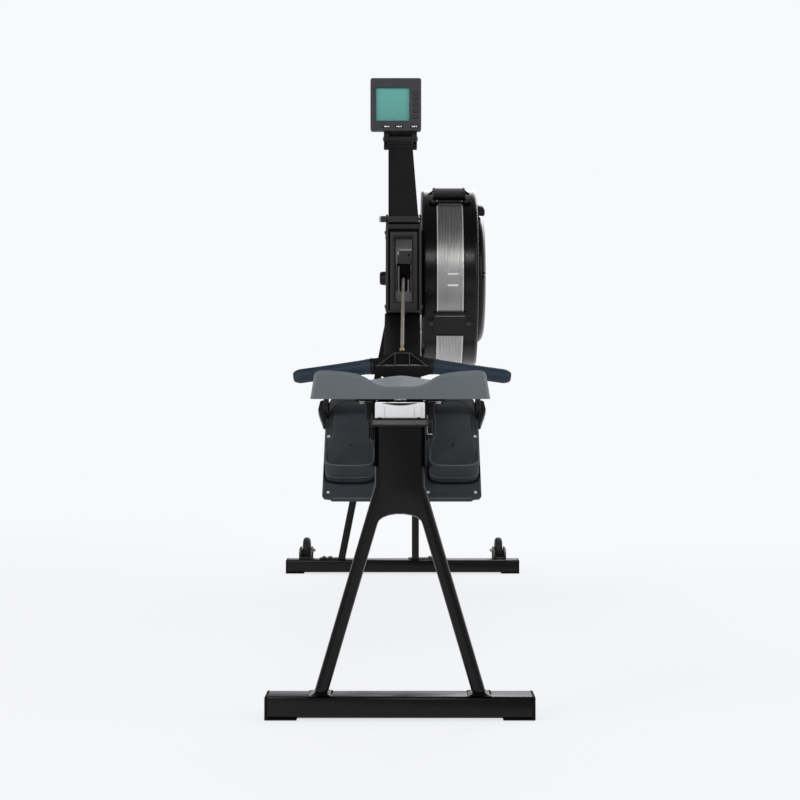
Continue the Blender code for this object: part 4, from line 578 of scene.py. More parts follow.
def joined(name, body, parts):
    # Several parts of one finish as one piece on a body, with their modifiers applied
    bpy.context.view_layer.update()
    graph = bpy.context.evaluated_depsgraph_get()
    whole = bmesh.new()
    meshes = [bpy.data.meshes.new_from_object(part.evaluated_get(graph)) for part in parts]
    for part, mesh in zip(parts, meshes):
        whole.from_mesh(mesh)
        bpy.data.objects.remove(part, do_unlink=True)
    for face in whole.faces:
        face.material_index = 0
    mesh = meshOf(whole, name, False)
    mesh.materials.append(meshes[0].materials[0])
    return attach(added(name, mesh), body)


def hollowed(piece, *tools, smooth=30):
    # The piece with other pieces cut out of it
    piece = plainCopy(piece, piece.name)
    for number, tool in enumerate(tools):
        gap = piece.modifiers.new(f"gap{number}", "BOOLEAN")
        gap.object = tool
        gap.solver = "EXACT"
    made = plainCopy(piece, piece.name)
    for tool in tools:
        bpy.data.objects.remove(tool, do_unlink=True)
    if smooth:
        made.data.set_sharp_from_angle(angle=math.radians(smooth))
    return made


def nodeTree(name, sizes):
    # A tree with these inputs, and a node's output for each of them
    tree = bpy.data.node_groups.new(name, "GeometryNodeTree")
    tree.interface.new_socket("Geometry", in_out="INPUT", socket_type="NodeSocketGeometry")
    for label, value in {**sizes, "Finish": "NodeSocketMaterial"}.items():
        kind = {float: "NodeSocketFloat", int: "NodeSocketInt"}.get(type(value), value)
        socket = tree.interface.new_socket(label, in_out="INPUT", socket_type=kind)
        if isinstance(value, (float, int)):
            socket.default_value = value
    tree.interface.new_socket("Geometry", in_out="OUTPUT", socket_type="NodeSocketGeometry")
    return tree, tree.nodes.new("NodeGroupInput").outputs


def geo(tree, kind, settings=None, **sockets):
    return step(tree, "GeometryNode" + kind, settings, **sockets)


def finished(tree, s, geometry):
    solid = geo(tree, "RealizeInstances", Geometry=geometry)
    painted = geo(tree, "SetMaterial", Geometry=solid, Material=s["Finish"])
    step(tree, "NodeGroupOutput", Geometry=painted)
    return tree


def grown(name, carrier, tree, finish, values, outwards=False, smooth=None):
    # Runs a tree on its carrier and keeps the outcome as one plain mesh
    values = {**values, "Finish": finishes[finish]}
    modifier = carrier.modifiers.new("grow", "NODES")
    modifier.node_group = tree
    for item in tree.interface.items_tree:
        if item.item_type == "SOCKET" and item.in_out == "INPUT" and item.name in values:
            modifier[item.identifier] = values[item.name]
    made = plainCopy(carrier, name)
    shape = bmesh.new()
    shape.from_mesh(made.data)
    bmesh.ops.remove_doubles(shape, verts=shape.verts, dist=1e-6)
    if outwards:
        bmesh.ops.recalc_face_normals(shape, faces=shape.faces)
    for face in shape.faces:
        face.material_index = 0
    shape.to_mesh(made.data)
    shape.free()
    made.data.materials.clear()
    made.data.materials.append(values["Finish"])
    if smooth:
        made.data.shade_smooth()
        made.data.set_sharp_from_angle(angle=math.radians(smooth))
    return made


def lineCarrier(name, points, facings=None):
    # Points, joined in a line or each with the way that it faces
    mesh = bpy.data.meshes.new(name)
    edges = [(i, i + 1) for i in range(len(points) - 1)] if facings is None else []
    mesh.from_pydata([tuple(p) for p in points], edges, [])
    if facings is not None:
        attribute = mesh.attributes.new("facing", "FLOAT_VECTOR", "POINT")
        for item, facing in zip(attribute.data, facings):
            item.vector = tuple(facing)
    return added(name, mesh)


def boltTree():
    # A head with a six-sided socket in it, on a washer, at each point
    tree, s = nodeTree("boltHeads", {
        "Head Radius": 0.006, "Head Height": 0.004, "Washer Radius": 0.008, "Washer Height": 0.001,
        "Socket Radius": 0.0028, "Sides": 20,
    })

    def cylinder(sides, radius, depth, lift):
        made = geo(tree, "MeshCylinder", Vertices=sides, Radius=radius, Depth=depth)
        return geo(tree, "Transform", Geometry=made, Translation=vector(tree, Z=lift))

    high, under = s["Head Height"], s["Washer Height"]
    lift = maths(tree, "ADD", maths(tree, "MULTIPLY", high, 0.5), under)
    head = cylinder(s["Sides"], s["Head Radius"], high, lift)
    socket = cylinder(6, s["Socket Radius"], high, maths(tree, "ADD", high, under))
    settings = {"operation": "DIFFERENCE", "solver": "EXACT"}
    cut = geo(tree, "MeshBoolean", settings, Mesh_1=head, Mesh_2=socket)
    washer = cylinder(s["Sides"], s["Washer Radius"], under, maths(tree, "MULTIPLY", under, 0.5))
    whole = geo(tree, "JoinGeometry", Geometry=[cut, washer])
    facing = geo(tree, "InputNamedAttribute", {"data_type": "FLOAT_VECTOR"}, Name="facing")
    aim = step(tree, "FunctionNodeAlignRotationToVector", {"axis": "Z"}, Vector=facing.outputs["Attribute"])
    return finished(tree, s, geo(
        tree, "InstanceOnPoints", Points=s["Geometry"], Instance=whole, Rotation=aim
    ))


def ringTree():
    # Bars on a circle round the X axis: how many, from where and how far round
    tree, s = nodeTree("ringOfBars", {
        "Count": 24, "Radius": 0.1, "Start": 0.0, "Sweep": 6.2832, "Length": 0.004, "Height": 0.002,
        "Width": 0.002, "Tilt": 0.0,
    })
    share = maths(tree, "DIVIDE", geo(tree, "InputIndex"), s["Count"])
    angle = maths(tree, "ADD", maths(tree, "MULTIPLY", share, s["Sweep"]), s["Start"])
    y, z = (maths(tree, "MULTIPLY", maths(tree, way, angle), s["Radius"]) for way in ("COSINE", "SINE"))
    spots = geo(tree, "Points", Count=s["Count"])
    placed = geo(tree, "SetPosition", Geometry=spots, Position=vector(tree, Y=y, Z=z))
    bar = geo(tree, "MeshCube", Size=vector(tree, X=s["Length"], Y=s["Height"], Z=s["Width"]))
    leaning = geo(tree, "Transform", Geometry=bar, Rotation=vector(tree, Z=s["Tilt"]))
    return finished(tree, s, geo(
        tree, "InstanceOnPoints", Points=placed, Instance=leaning, Rotation=vector(tree, X=angle)
    ))


def rowTree():
    # Bars in a straight row, each along its own long side
    tree, s = nodeTree("rowOfBars", {
        "Count": 8, "Pitch X": 0.0, "Pitch Y": 0.0, "Pitch Z": 0.005, "Size X": 0.02, "Size Y": 0.001,
        "Size Z": 0.002,
    })
    size, pitch = (vector(tree, **{a: s[f"{word} {a}"] for a in "XYZ"}) for word in ("Size", "Pitch"))
    line = geo(tree, "MeshLine", Count=s["Count"], Offset=pitch)
    return finished(tree, s, geo(
        tree, "InstanceOnPoints", Points=line, Instance=geo(tree, "MeshCube", Size=size)
    ))


boltHeads = boltTree()
ringOfBars = ringTree()
rowOfBars = rowTree()


def bolts(name, body, places, finish, radius=0.006, height=0.0035, washer=0.0082, socket=0.0026):
    # places is a list of (seat, outward direction)
    carrier = lineCarrier(name + "Points", [p for p, _ in places], [d for _, d in places])
    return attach(grown(name, carrier, boltHeads, finish, {
        "Head Radius": radius, "Head Height": height, "Washer Radius": washer,
        "Washer Height": 0.0009, "Socket Radius": socket, "Sides": 20,
    }, smooth=35), body)


def barRing(name, body, centre, finish, **sizes):
    # sizes are the tree's own inputs, named in small letters
    values = {label.capitalize(): value for label, value in sizes.items()}
    made = grown(name, lineCarrier(name + "Start", [(0, 0, 0)]), ringOfBars, finish, values)
    made.data.transform(Matrix.Translation(centre))
    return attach(made, body)


def barRow(name, body, first, pitch, size, count, finish):
    values = {"Count": count}
    for i, a in enumerate("XYZ"):
        values[f"Pitch {a}"], values[f"Size {a}"] = float(pitch[i]), float(size[i])
    made = grown(name, lineCarrier(name + "Start", [(0, 0, 0)]), rowOfBars, finish, values)
    made.data.transform(Matrix.Translation(first))
    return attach(made, body)


print("tools made")

# Foot bars, legs, rail and beam

softEdges = {  # CAD node: (piece, eased edge, finish)
    "rear_foot_bar": ("rearFootBar", 0.0034, "tubeBlack"),
    "front_foot_bar": ("frontFootBar", 0.0030, "tubeBlack"),
    "rear_foot_left": ("rearFootLeft", 0.0010, "rubberBlack"),
    "rear_foot_right": ("rearFootRight", 0.0010, "rubberBlack"),
    "front_foot_left": ("frontFootLeft", 0.0010, "rubberBlack"),
    "front_foot_right": ("frontFootRight", 0.0010, "rubberBlack"),
    "rear_leg": ("rearLeg", 0.0095, "tubeBlack"),
    "front_leg": ("frontLeg", 0.0075, "tubeBlack"),
    "main_beam": ("mainBeam", 0.0035, "powderBlack"),
    "rail": ("railExtrusion", 0.0010, "anodised"),
    "rail_track": ("railTrack", 0.0005, "polishedTrack"),
    "rail_end_cap": ("railEndCap", 0.0010, "whitePlastic"),
    "chain_housing": ("chainHousing", 0.0011, "housingBlack"),
    "chain_guide": ("chainGuideBody", 0.0008, "deepBlack"),
    "handle_hook": ("handleHook", 0.0015, "mouldedBlack"),
    "monitor_arm": ("monitorArm", 0.0010, "armBlack"),
    "footboard_left": ("footboardLeft", 0.0016, "slateBoard"),
    "footboard_right": ("footboardRight", 0.0016, "slateBoard"),
    "insert_left": ("shoeInsertLeft", 0.0014, "slateInsert"),
    "insert_right": ("shoeInsertRight", 0.0014, "slateInsert"),
    "seat_carriage": ("seatCarriage", 0.0008, "powderBlack"),
    "handle_yoke": ("handleYoke", 0.0010, "powderBlack"),
    "caster_bracket_left": ("casterBracketLeft", 0.0010, "mouldedBlack"),
    "caster_bracket_right": ("casterBracketRight", 0.0010, "mouldedBlack"),
    "damper_lever": ("damperLever", 0.0006, "mouldedBlack"),
    "flywheel": ("fanWheel", 0.0004, "vaneAluminium"),
    "shock_cord": ("shockCord", 0.0002, "rubberBlack"),
}
for node, (name, width, finish) in softEdges.items():
    # the housing's faces have holes in them, so they stay as the triangles they came as
    softened(
        node, name, width, finish, segments=4 if width > 0.005 else 2,
        flat=0.0 if node in ("chain_housing", "chain_guide") else 1.0, clamp=node != "rear_leg",
    )
print("frame pieces eased")

# Flywheel housing: two dished shells with a perforated band between them

axle = spanOf("flywheel_axle")[2]
axle.x = 0
axleY, axleZ = axle.y, axle.z
innerLow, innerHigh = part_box("inner_shell")
outerLow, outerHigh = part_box("outer_shell")

shellSizes = {
    "radius": 0.2345, "wall": 0.003, "shoulder": 0.011, "steps": 144, "recess": 0.0014,
    "innerHole": 0.0092, "outerHole": 0.100, "lipDepth": 0.0030, "lipGroove": 0.0010,
}


def aroundAxle(x, radius, degrees):
    turn = math.radians(degrees)
    return Vector((x, axleY + radius * math.cos(turn), axleZ + radius * math.sin(turn)))


def shellOutline(face, rim, hole):
    # From the hole out over the round shoulder to the rim and its lip, and back inside
    s = shellSizes
    sign = 1 if rim > face else -1
    r, wall, big = s["radius"], s["wall"], s["shoulder"]
    recess, groove = face + sign * s["recess"], r - s["lipGroove"]
    cx, cr = face + sign * big, r - big

    def shoulder(radius, indices):
        turns = [math.radians(9 * index) for index in indices]
        return [(cx - sign * radius * math.cos(a), cr + radius * math.sin(a)) for a in turns]

    outline = [(face, hole), (face, hole + 0.016), (recess, hole + 0.019), (recess, cr - 0.012)]
    outline += [(face, cr - 0.009), (face, cr)] + shoulder(big, range(1, 11))
    lip = rim - sign * s["lipDepth"]
    outline += [(lip - sign * 0.0012, r), (lip - sign * 0.0006, groove), (lip, groove)]
    outline += [(lip + sign * 0.0004, r - 0.0001), (rim - sign * 0.0004, r), (rim, r - 0.0005)]
    outline += [(rim, r - wall)] + shoulder(big - wall, range(10, -1, -1))
    return outline + [(face + sign * wall, cr - 0.012), (face + sign * wall, hole)]


for name, node, face, rim, hole in (
    ("innerShell", "inner_shell", innerLow.x, innerHigh.x, shellSizes["innerHole"]),
    ("outerShell", "outer_shell", outerHigh.x, outerLow.x, shellSizes["outerHole"]),
):
    outline = shellOutline(face, rim, hole)
    standsFor(lathed(name, outline, axle, "x", shellSizes["steps"], "glossBlack", closed=True), node)

bandSizes = {
    "inset": 0.0012, "pitch": 0.0042, "rows": 17, "open": 0.50, "sheet": 0.0012, "margin": 0.0034,
    "rim": 0.0016, "edge": 0.0027,
}


def bandTree():
    # A hexagon grid, each cell pierced, bent into a ring and given its thickness
    tree, s = nodeTree("piercedBand", {
        "Radius": 0.23, "Width": 0.06, "Cells": 280, "Rows": 13, "Open Share": 0.6, "Sheet": 0.0012,
    })
    columns = maths(tree, "ADD", s["Cells"], 1.0)
    grid = geo(tree, "MeshGrid", Size_X=1.0, Size_Y=1.0, Vertices_X=columns, Vertices_Y=s["Rows"])
    cells = geo(tree, "DualMesh", Mesh=geo(tree, "Triangulate", Mesh=grid), Keep_Boundaries=True)
    pierced = geo(tree, "ExtrudeMesh", {"mode": "FACES"}, Mesh=cells, Offset_Scale=0.0, Individual=True)
    top = pierced.outputs["Top"]
    shrunk = geo(tree, "ScaleElements", Geometry=pierced, Selection=top, Scale=s["Open Share"])
    opened = geo(tree, "DeleteGeometry", {"domain": "FACE"}, Geometry=shrunk, Selection=top)
    split = step(tree, "ShaderNodeSeparateXYZ", Vector=geo(tree, "InputPosition"))
    # every row stands half a cell on from the one under it
    row = maths(tree, "MULTIPLY", split.outputs["Y"], maths(tree, "SUBTRACT", s["Rows"], 1.0))
    lean = maths(tree, "MULTIPLY", row, maths(tree, "DIVIDE", 0.5, s["Cells"]))
    angle = maths(tree, "MULTIPLY", maths(tree, "ADD", split.outputs["X"], lean), 2 * math.pi)
    x = maths(tree, "MULTIPLY", split.outputs["Y"], s["Width"])
    y, z = (maths(tree, "MULTIPLY", maths(tree, way, angle), s["Radius"]) for way in ("COSINE", "SINE"))
    ring = geo(tree, "SetPosition", Geometry=opened, Position=vector(tree, X=x, Y=y, Z=z))
    welded = geo(tree, "MergeByDistance", Geometry=ring, Distance=2e-5)
    # the ring's own outward direction, so that the sheet thickens inwards
    spot = step(tree, "ShaderNodeSeparateXYZ", Vector=geo(tree, "InputPosition"))
    outward = vector(tree, Y=spot.outputs["Y"], Z=spot.outputs["Z"])
    unit = step(tree, "ShaderNodeVectorMath", {"operation": "NORMALIZE"}, n0=outward)
    walls = geo(
        tree, "ExtrudeMesh", {"mode": "FACES"}, Mesh=welded, Offset=unit,
        Offset_Scale=maths(tree, "MULTIPLY", s["Sheet"], -1.0), Individual=False,
    )
    both = geo(tree, "JoinGeometry", Geometry=[welded, walls])
    return finished(tree, s, geo(tree, "MergeByDistance", Geometry=both, Distance=1e-5))


def piercedBand():
    b = bandSizes
    low, high = innerHigh.x, outerLow.x
    outside = shellSizes["radius"] - b["inset"]
    band = grown("fanBand", lineCarrier("bandStart", [(0, 0, 0)]), bandTree(), "screenSteel", {
        "Radius": outside, "Width": high - low - 2 * b["margin"], "Sheet": b["sheet"], "Rows": b["rows"],
        "Cells": round(2 * math.pi * outside / b["pitch"]), "Open Share": b["open"],
    }, outwards=True)
    band.data.transform(Matrix.Translation(((low + high) / 2, axleY, axleZ)))
    print("band triangles", sum(len(p.vertices) - 2 for p in band.data.polygons))
    standsFor(band, "fan_screen")
    # the plain rims beside the holes, and the bead along each, whose paler, less metallic steel is a painted
    # highlight
    rim, bead = (-b["rim"], 0, 0.0004, "screenSteel"), (-0.0004, 0.0007, 0.0005, "edgeSteel")
    for name, start, end, (under, over, corner, finish) in (
        ("bandRimInner", low - 0.003, low + b["margin"], rim),
        ("bandRimOuter", high - b["margin"], high + 0.003, rim),
        ("bandBeadInner", low + 0.0005, low + 0.0005 + b["edge"], bead),
        ("bandBeadOuter", high - 0.0005 - b["edge"], high - 0.0005, bead),
    ):
        section = rectangle((start, outside + under), (end, outside + over), corner)
        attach(lathed(name, section, axle, "x", shellSizes["steps"], finish, closed=True), "frame")
    dashes = []
    for turn in (180.4, 187.5):
        spot = aroundAxle(0, outside + 0.0002, turn)
        start, end = (0.1150, spot.y - 0.0004, spot.z - 0.0023), (0.1418, spot.y + 0.0006, spot.z + 0.0023)
        dashes.append(slab("dash", start, end, "paleMark", 0.0002))
    joined("bandDashes", "frame", dashes)


piercedBand()

# Brackets over both rims, the small fins on the shells, and the axle's knob

bracketSizes = {
    "inside": 0.2348, "plate": 0.0050, "rib": 0.0014, "ribWide": 0.0030, "boss": 0.0092, "bossHigh": 0.0052,
    "ring": 0.0126, "left": 0.0802, "right": 0.1643,
}


def arcSlab(name, x0, x1, r0, r1, start, end, finish, ease=0.0006):
    count = max(3, round(abs(end - start) / 2.5))
    turns = [start + (end - start) * index / count for index in range(count + 1)]
    outline = [aroundAxle(0, r1, a) for a in turns] + [aroundAxle(0, r0, a) for a in reversed(turns)]
    return prism(name, [(p.y, p.z) for p in outline], x0, x1, "x", finish, ease)


def bracket(name, node, start, end, bossTurns, bossPlaces, finish):
    # A curved plate with raised edges, and bosses with their screws
    b = bracketSizes
    low, high, inside = b["left"], b["right"], b["inside"]
    top = inside + b["plate"]
    edge = (top - 0.001, top + b["rib"])
    reach = math.degrees(0.0022 / top)
    parts = [arcSlab(name, low, high, inside, top, start, end, finish, 0.0009)]
    for x in (low, high - b["ribWide"]):
        parts.append(arcSlab("rib", x, x + b["ribWide"], *edge, start + 0.4, end - 0.4, finish, 0.0005))
    for turn in (start + 0.5, end - 0.5 - reach):
        parts.append(arcSlab("end", low, high, *edge, turn, turn + reach, finish, 0.0004))
    screws = []
    for turn in bossTurns:
        out = aroundAxle(0, 1, turn) - aroundAxle(0, 0, turn)
        for x in bossPlaces:
            foot, collar, seat, tip = (
                aroundAxle(x, inside + off, turn)
                for off in (-0.006, 0.0022, b["bossHigh"] - 0.0006, b["bossHigh"])
            )
            parts.append(stud("boss", foot, tip, b["boss"], finish, 0.0012, 32))
            parts.append(stud("ring", foot, collar, b["ring"], finish, steps=32, ease=0.0010))
            screws.append((seat, out))
        bar = [aroundAxle(x, inside + 0.0030, turn) for x in bossPlaces]
        parts.append(stud("bar", *bar, 0.0022, finish, steps=12))
    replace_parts(joined(name, bodyOf(node), parts), node)
    bolts(name + "Screws", "frame", screws, "blackBolt", 0.0040, 0.0022, 0.0054, 0.0018)


bracket("topBracket", "top_bracket", 57, 123, (52.5, 127.5), (0.0800, 0.1660), "deepBlack")
bracket("lowerBracket", "lower_bracket", 204.5, 221.5, (212.0,), (0.0740, 0.1685), "mouldedBlack")
bracketTop = bracketSizes["inside"] + bracketSizes["plate"]
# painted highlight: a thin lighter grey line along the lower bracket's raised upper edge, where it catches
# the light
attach(arcSlab(
    "lowerBracketLine", bracketSizes["left"] + 0.004, bracketSizes["right"] - 0.004, bracketTop,
    bracketTop + 0.0010, 206.6, 207.2, "ribGrey", 0.0003,
), "frame")
joined("bracketStruts", "frame", [
    stud(
        "strut", aroundAxle(foot, 0.2345, turn), aroundAxle(head, 0.2395, lean), 0.0024, "mouldedBlack",
        0.0008, 12,
    )
    for foot, head in ((0.0690, 0.0835), (0.1740, 0.1610)) for turn, lean in ((113.0, 107.0), (67.0, 73.0))
])
joined("bracketPins", "frame", [
    stud("pin", aroundAxle(x, 0.2395, turn), aroundAxle(x, 0.2425, turn), 0.0010, "stainless", steps=8)
    for x in (0.0850, 0.1590) for turn in (84, 96)
])
for name, x, tilt in (("outerShellFins", 0.1927, -56), ("innerShellFins", 0.0508, 56)):
    barRing(
        name, "frame", (x, axleY, axleZ), "mouldedBlack", count=120, radius=0.2292, length=0.0060,
        height=0.0012, width=0.0016, tilt=math.radians(tilt),
    )


def axlePiece():
    low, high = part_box("flywheel_axle")
    long = high.x - low.x
    profile = [(-0.0036, 0), (-0.0032, 0.0100), (-0.0036, 0.0110), (-0.0036, 0.0128), (-0.0022, 0.0158)]
    profile += [(0.0004, 0.0172), (0.0130, 0.0180), (0.0150, 0.0190), (0.0160, 0.0186), (0.0160, 0.0080)]
    profile += [(long - 0.001, 0.0080), (long, 0.0070), (long, 0)]
    knob = lathed("axleAndKnob", profile, (low.x, axleY, axleZ), "x", 48, "mouldedBlack")
    standsFor(knob, "flywheel_axle")
    barRing(
        "knobRidges", bodyOf("flywheel_axle"), (low.x + 0.0068, axleY, axleZ), "mouldedBlack", count=18,
        radius=0.0176, length=0.0120, height=0.0012, width=0.0016, tilt=math.radians(4),
    )


axlePiece()

domeSizes = {
    "radius": 0.169, "height": 0.018, "wall": 0.0025, "screwsAt": 0.159, "screwTurns": (60, 180, 300),
}


def damperDome():
    d = domeSizes
    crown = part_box("damper_cover")[1].x
    base, r, inside = crown - d["height"], d["radius"], crown - d["wall"] - 0.0008
    outline = [(crown - 0.0006, 0), (crown - 0.0006, 0.040), (crown, 0.043), (crown, r * 0.52)]
    outline += [(crown - 0.0012, r * 0.54), (crown - 0.0012, r * 0.60), (crown, r * 0.62), (crown, r * 0.68)]
    for index in range(1, 9):
        a = math.radians(90 * index / 8)
        drop = (d["height"] - 0.001) * (1 - math.cos(a)) ** 1.2
        outline.append((crown - drop, r * (0.70 + 0.30 * math.sin(a))))
    outline += [(base, r), (base, r - d["wall"]), (crown - 0.011, r * 0.955), (crown - 0.006, r * 0.87)]
    outline += [(inside, r * 0.76), (inside - 0.0004, r * 0.60), (inside, 0)]
    standsFor(lathed("damperDome", outline, axle, "x", 128, "glossBlack"), "damper_cover")
    back, seat, front = (
        [aroundAxle(crown - off, d["screwsAt"], a) for a in d["screwTurns"]]
        for off in (0.0125, 0.0052, 0.0048)
    )
    outward = Vector((1, 0, 0))
    bolts("domeScrews", "frame", [(p, outward) for p in seat], "stainless", 0.0048, 0.003, 0.0064, 0.002)
    collars = [stud("collar", *ends, 0.0088, "glossBlack") for ends in zip(back, front)]
    joined("domeCollars", "frame", collars)
    barRing(
        "domeNotches", "frame", (base + 0.0012, axleY, axleZ), "mouldedBlack", count=72, radius=0.1672,
        length=0.0040, height=0.0046, width=0.0016,
    )


damperDome()
print("housing made")

# The damper lever's grip, which stands out past the dome's rim

tabSizes = {"angle": 105, "low": 0.1702, "high": 0.1972, "inside": 0.1962, "outside": 0.2168, "half": 0.0115}


def damperTab():
    t = tabSizes
    near, far, low, high = t["inside"], t["outside"], t["low"], t["high"]
    outline = [
        (near, low + 0.0008), (far - 0.003, low), (far, low + 0.003), (far - 0.0005, high - 0.0105),
        (far - 0.0040, high - 0.0030), (near + 0.0030, high), (near, high - 0.0006),
    ]
    # drawn as (x, radius) and drawn out sideways, then turned to the lever's angle
    tab = plainCopy(
        prism("damperTab", outline, -t["half"], t["half"], "y", "mouldedBlack", 0.0009), "damperTab"
    )
    turn = Matrix.Rotation(math.radians(t["angle"] - 90), 4, "X")
    tab.data.transform(Matrix.Translation((0, axleY, axleZ)) @ turn)
    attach(tab, bodyOf("damper_lever"))
    barRing(
        "tabRidges", bodyOf("damper_lever"), (far - 0.0006, axleY, axleZ), "mouldedBlack", count=6,
        radius=(low + high) / 2 - 0.004, start=math.radians(t["angle"] - 2.6), sweep=math.radians(6.2),
        length=0.0024, height=0.0110, width=0.0014,
    )


damperTab()

# What stands in the chain housing's window

guideSizes = {
    "left": -0.0122, "right": 0.0240, "hoodLow": 0.7930, "hoodTop": 0.8310, "depth": 0.0548,
    "shelfTop": 0.7262, "forkLeft": -0.0136, "forkRight": 0.0196, "forkTop": 0.7962,
    "sheetLeft": -0.0350, "sheetRight": 0.0410, "sheetTop": 0.8880,
}


def ringOf(name, body, outer, inner, low, high, finish, ease=0.0):
    # A flat ring between two outlines, across the Y axis
    ring = prism(name, outer, low, high, "y", finish, ease)
    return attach(hollowed(ring, prism("gap", inner, low - 0.01, high + 0.01, "y", finish)), body)


def windowParts():
    g = guideSizes
    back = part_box("chain_housing")[0].y
    front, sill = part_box("chain_guide")[0].yz
    deep = back + g["depth"]
    left, right, hoodTop, shelf = g["left"], g["right"], g["hoodTop"], g["shelfTop"]
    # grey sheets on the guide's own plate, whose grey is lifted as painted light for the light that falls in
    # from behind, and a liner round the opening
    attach(slab(
        "windowPlate", (g["sheetLeft"], deep - 0.0012, g["forkTop"]), (g["sheetRight"], deep, g["sheetTop"]),
        "windowGrey", 0.0003,
    ), "frame")
    joined("windowSheets", "frame", [
        slab(
            "sheet", (x0, deep - 0.0010, sill + 0.001), (x1, deep, g["forkTop"] - 0.0004), "windowGrey",
            0.0003,
        )
        for x0, x1 in ((g["sheetLeft"], g["forkLeft"]), (g["forkRight"], g["sheetRight"]))
    ])
    ringOf(
        "windowLiner", "frame", rectangle((-0.0205, 0.6973), (0.0265, 0.8627), 0.0010),
        rectangle((-0.0166, 0.7000), (0.0240, 0.8588), 0.0022), back + 0.0030, deep - 0.0022, "mouldedBlack",
    )
    # the dark hood, whose grey is lifted as painted light, with a black disc that is painted shade for its
    # hole and a near-white edge that is painted highlight, and the fork's legs on their shelf
    corners = [(left, g["hoodLow"]), (right, g["hoodLow"]), (right, hoodTop), (left, hoodTop)]
    outline = filleted(corners, [0, 0, 0, 0.005], True, 5)
    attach(prism("guideHood", outline, deep - 0.0024, deep - 0.0013, "y", "hoodGrey", 0.0003), "frame")
    # painted shade: a black disc through the hood stands in for the dark of its hole
    hole = [(0.0157, deep - off, 0.8190) for off in (0.0010, 0.0028)]
    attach(stud("hoodHole", *hole, 0.0027, "deepBlack"), "frame")
    # painted highlight: near-white strips where the guide's metal edge catches the light
    joined("hoodEdge", "frame", [slab("edge", low, high, "paleMark", ease) for low, high, ease in (
        (
            (left + 0.004, deep - 0.0036, hoodTop - 0.0008),
            (right - 0.0006, deep - 0.0010, hoodTop + 0.0026), 0.0006,
        ),
        (
            (left - 0.0004, deep - 0.0060, hoodTop - 0.0120),
            (left + 0.0036, deep - 0.0020, hoodTop - 0.0020), 0.0008,
        ),
    )])
    legs = []
    for x, top in ((-0.0096, 0.7900), (0.0150, 0.7560)):
        for half, near, far, low, high, ease in (
            (0.0020, 0.0014, 0.0010, 0, top - shelf, 0.0003),
            (0.0036, 0.0016, 0.0040, -0.0004, 0.0030, 0.0004),
        ):
            start, end = (x - half, front - near, shelf + low), (x + half, front + far, shelf + high)
            legs.append(slab("leg", start, end, "ribGrey", ease))
    joined("guideLegs", "frame", legs)
    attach(slab(
        "guideShelf", (-0.0200, back + 0.0160, sill + 0.0006), (0.0260, back + 0.0185, shelf), "hoodGrey",
        0.0004,
    ), "frame")


windowParts()

trimSizes = {
    "left": -0.0415, "right": 0.0475, "frameLow": (-0.0300, 0.6790), "frameHigh": (0.0367, 0.8735),
    "gapLow": (-0.0238, 0.6935), "gapHigh": (0.0298, 0.8660), "grooveWide": 0.0046, "grooveTall": 0.0080,
    "screwHeights": (0.690, 0.875), "seamLow": 0.7795, "seamHigh": 0.7825,
}


def housingTrim():
    # A raised frame round the window, seams, and the screws that hold the box together
    t = trimSizes
    low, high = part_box("chain_housing")
    left, right = t["left"], t["right"]
    frameLow, frameHigh = t["frameLow"], t["frameHigh"]
    frameLine = rectangle(frameLow, frameHigh, 0.003)
    gap = rectangle(t["gapLow"], t["gapHigh"], 0.002)
    ringOf("windowFrame", "frame", frameLine, gap, low.y - 0.0012, low.y + 0.0040, "housingBlack", 0.0006)
    # painted shade: a darker band, set just behind the frame's face, standing in for the shade in the groove
    # round it, wide along the top
    groove = rectangle(
        (frameLow[0] - t["grooveWide"], frameLow[1] - 0.0008),
        (frameHigh[0] + t["grooveWide"], frameHigh[1] + t["grooveTall"]), 0.003,
    )
    ringOf("frameGroove", "frame", groove, frameLine, low.y - 0.0004, low.y + 0.0030, "deepBlack", 0.0003)
    spots = []
    for y in (low.y + 0.045, low.y + 0.20, high.y - 0.030):
        for z in t["screwHeights"]:
            spots.append(((left - 0.0002, y, z), (-1, 0, 0)))
            if z < 0.7 or y > low.y + 0.3:
                spots.append(((right + 0.0002, y, z), (1, 0, 0)))
    backPlaces = [(x, high.y + 0.0002, z) for x in (left + 0.014, right - 0.014) for z in t["screwHeights"]]
    spots += [(place, (0, 1, 0)) for place in backPlaces]
    bolts("housingScrews", "frame", spots, "blackBolt", 0.0042, 0.0022, 0.0056, 0.0019)
    for name, start, end, ease in (
        (
            "seamLeft", (left - 0.0007, low.y + 0.012, t["seamLow"]),
            (left + 0.001, high.y - 0.012, t["seamHigh"]), 0.0005,
        ),
        (
            "seamTop", (left + 0.012, low.y + 0.075, high.z - 0.0255), (right - 0.012, high.y - 0.02, 0.8936),
            0.0004,
        ),
    ):
        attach(slab(name, start, end, "housingBlack", ease), "frame")
    barRow(
        "housingVents", "frame", (0.003, high.y + 0.0004, 0.735), (0, 0, 0.0085),
        (0.044, 0.0016, 0.0034), 11, "mouldedBlack",
    )
    joined("beamBolts", "frame", [
        stud("beamBolt", (0.0440, y, z), (0.0478, y, z), 0.0042, "stainless", 0.0012, 20)
        for y, z in ((0.6400, 0.6650), (0.5850, 0.6250))
    ])


housingTrim()
print("chain housing made")

# Monitor

monitorSizes = {
    "corner": 0.0065, "ease": 0.0013, "wall": 0.0050, "windowCorner": 0.0012, "keyCorner": 0.0017,
    "keyGap": 0.0004, "tiltZ": 1.1065, "tiltRadius": 0.0131, "armLeft": -0.0349, "armRight": 0.0251,
    "lug": 0.0110, "barrel": 0.0108,
}


def faceOf(low, high, grow, corner, steps=4):
    # A box's outline seen from the front, larger all round by grow
    return rectangle((low.x - grow, low.z - grow), (high.x + grow, high.z + grow), corner, steps)


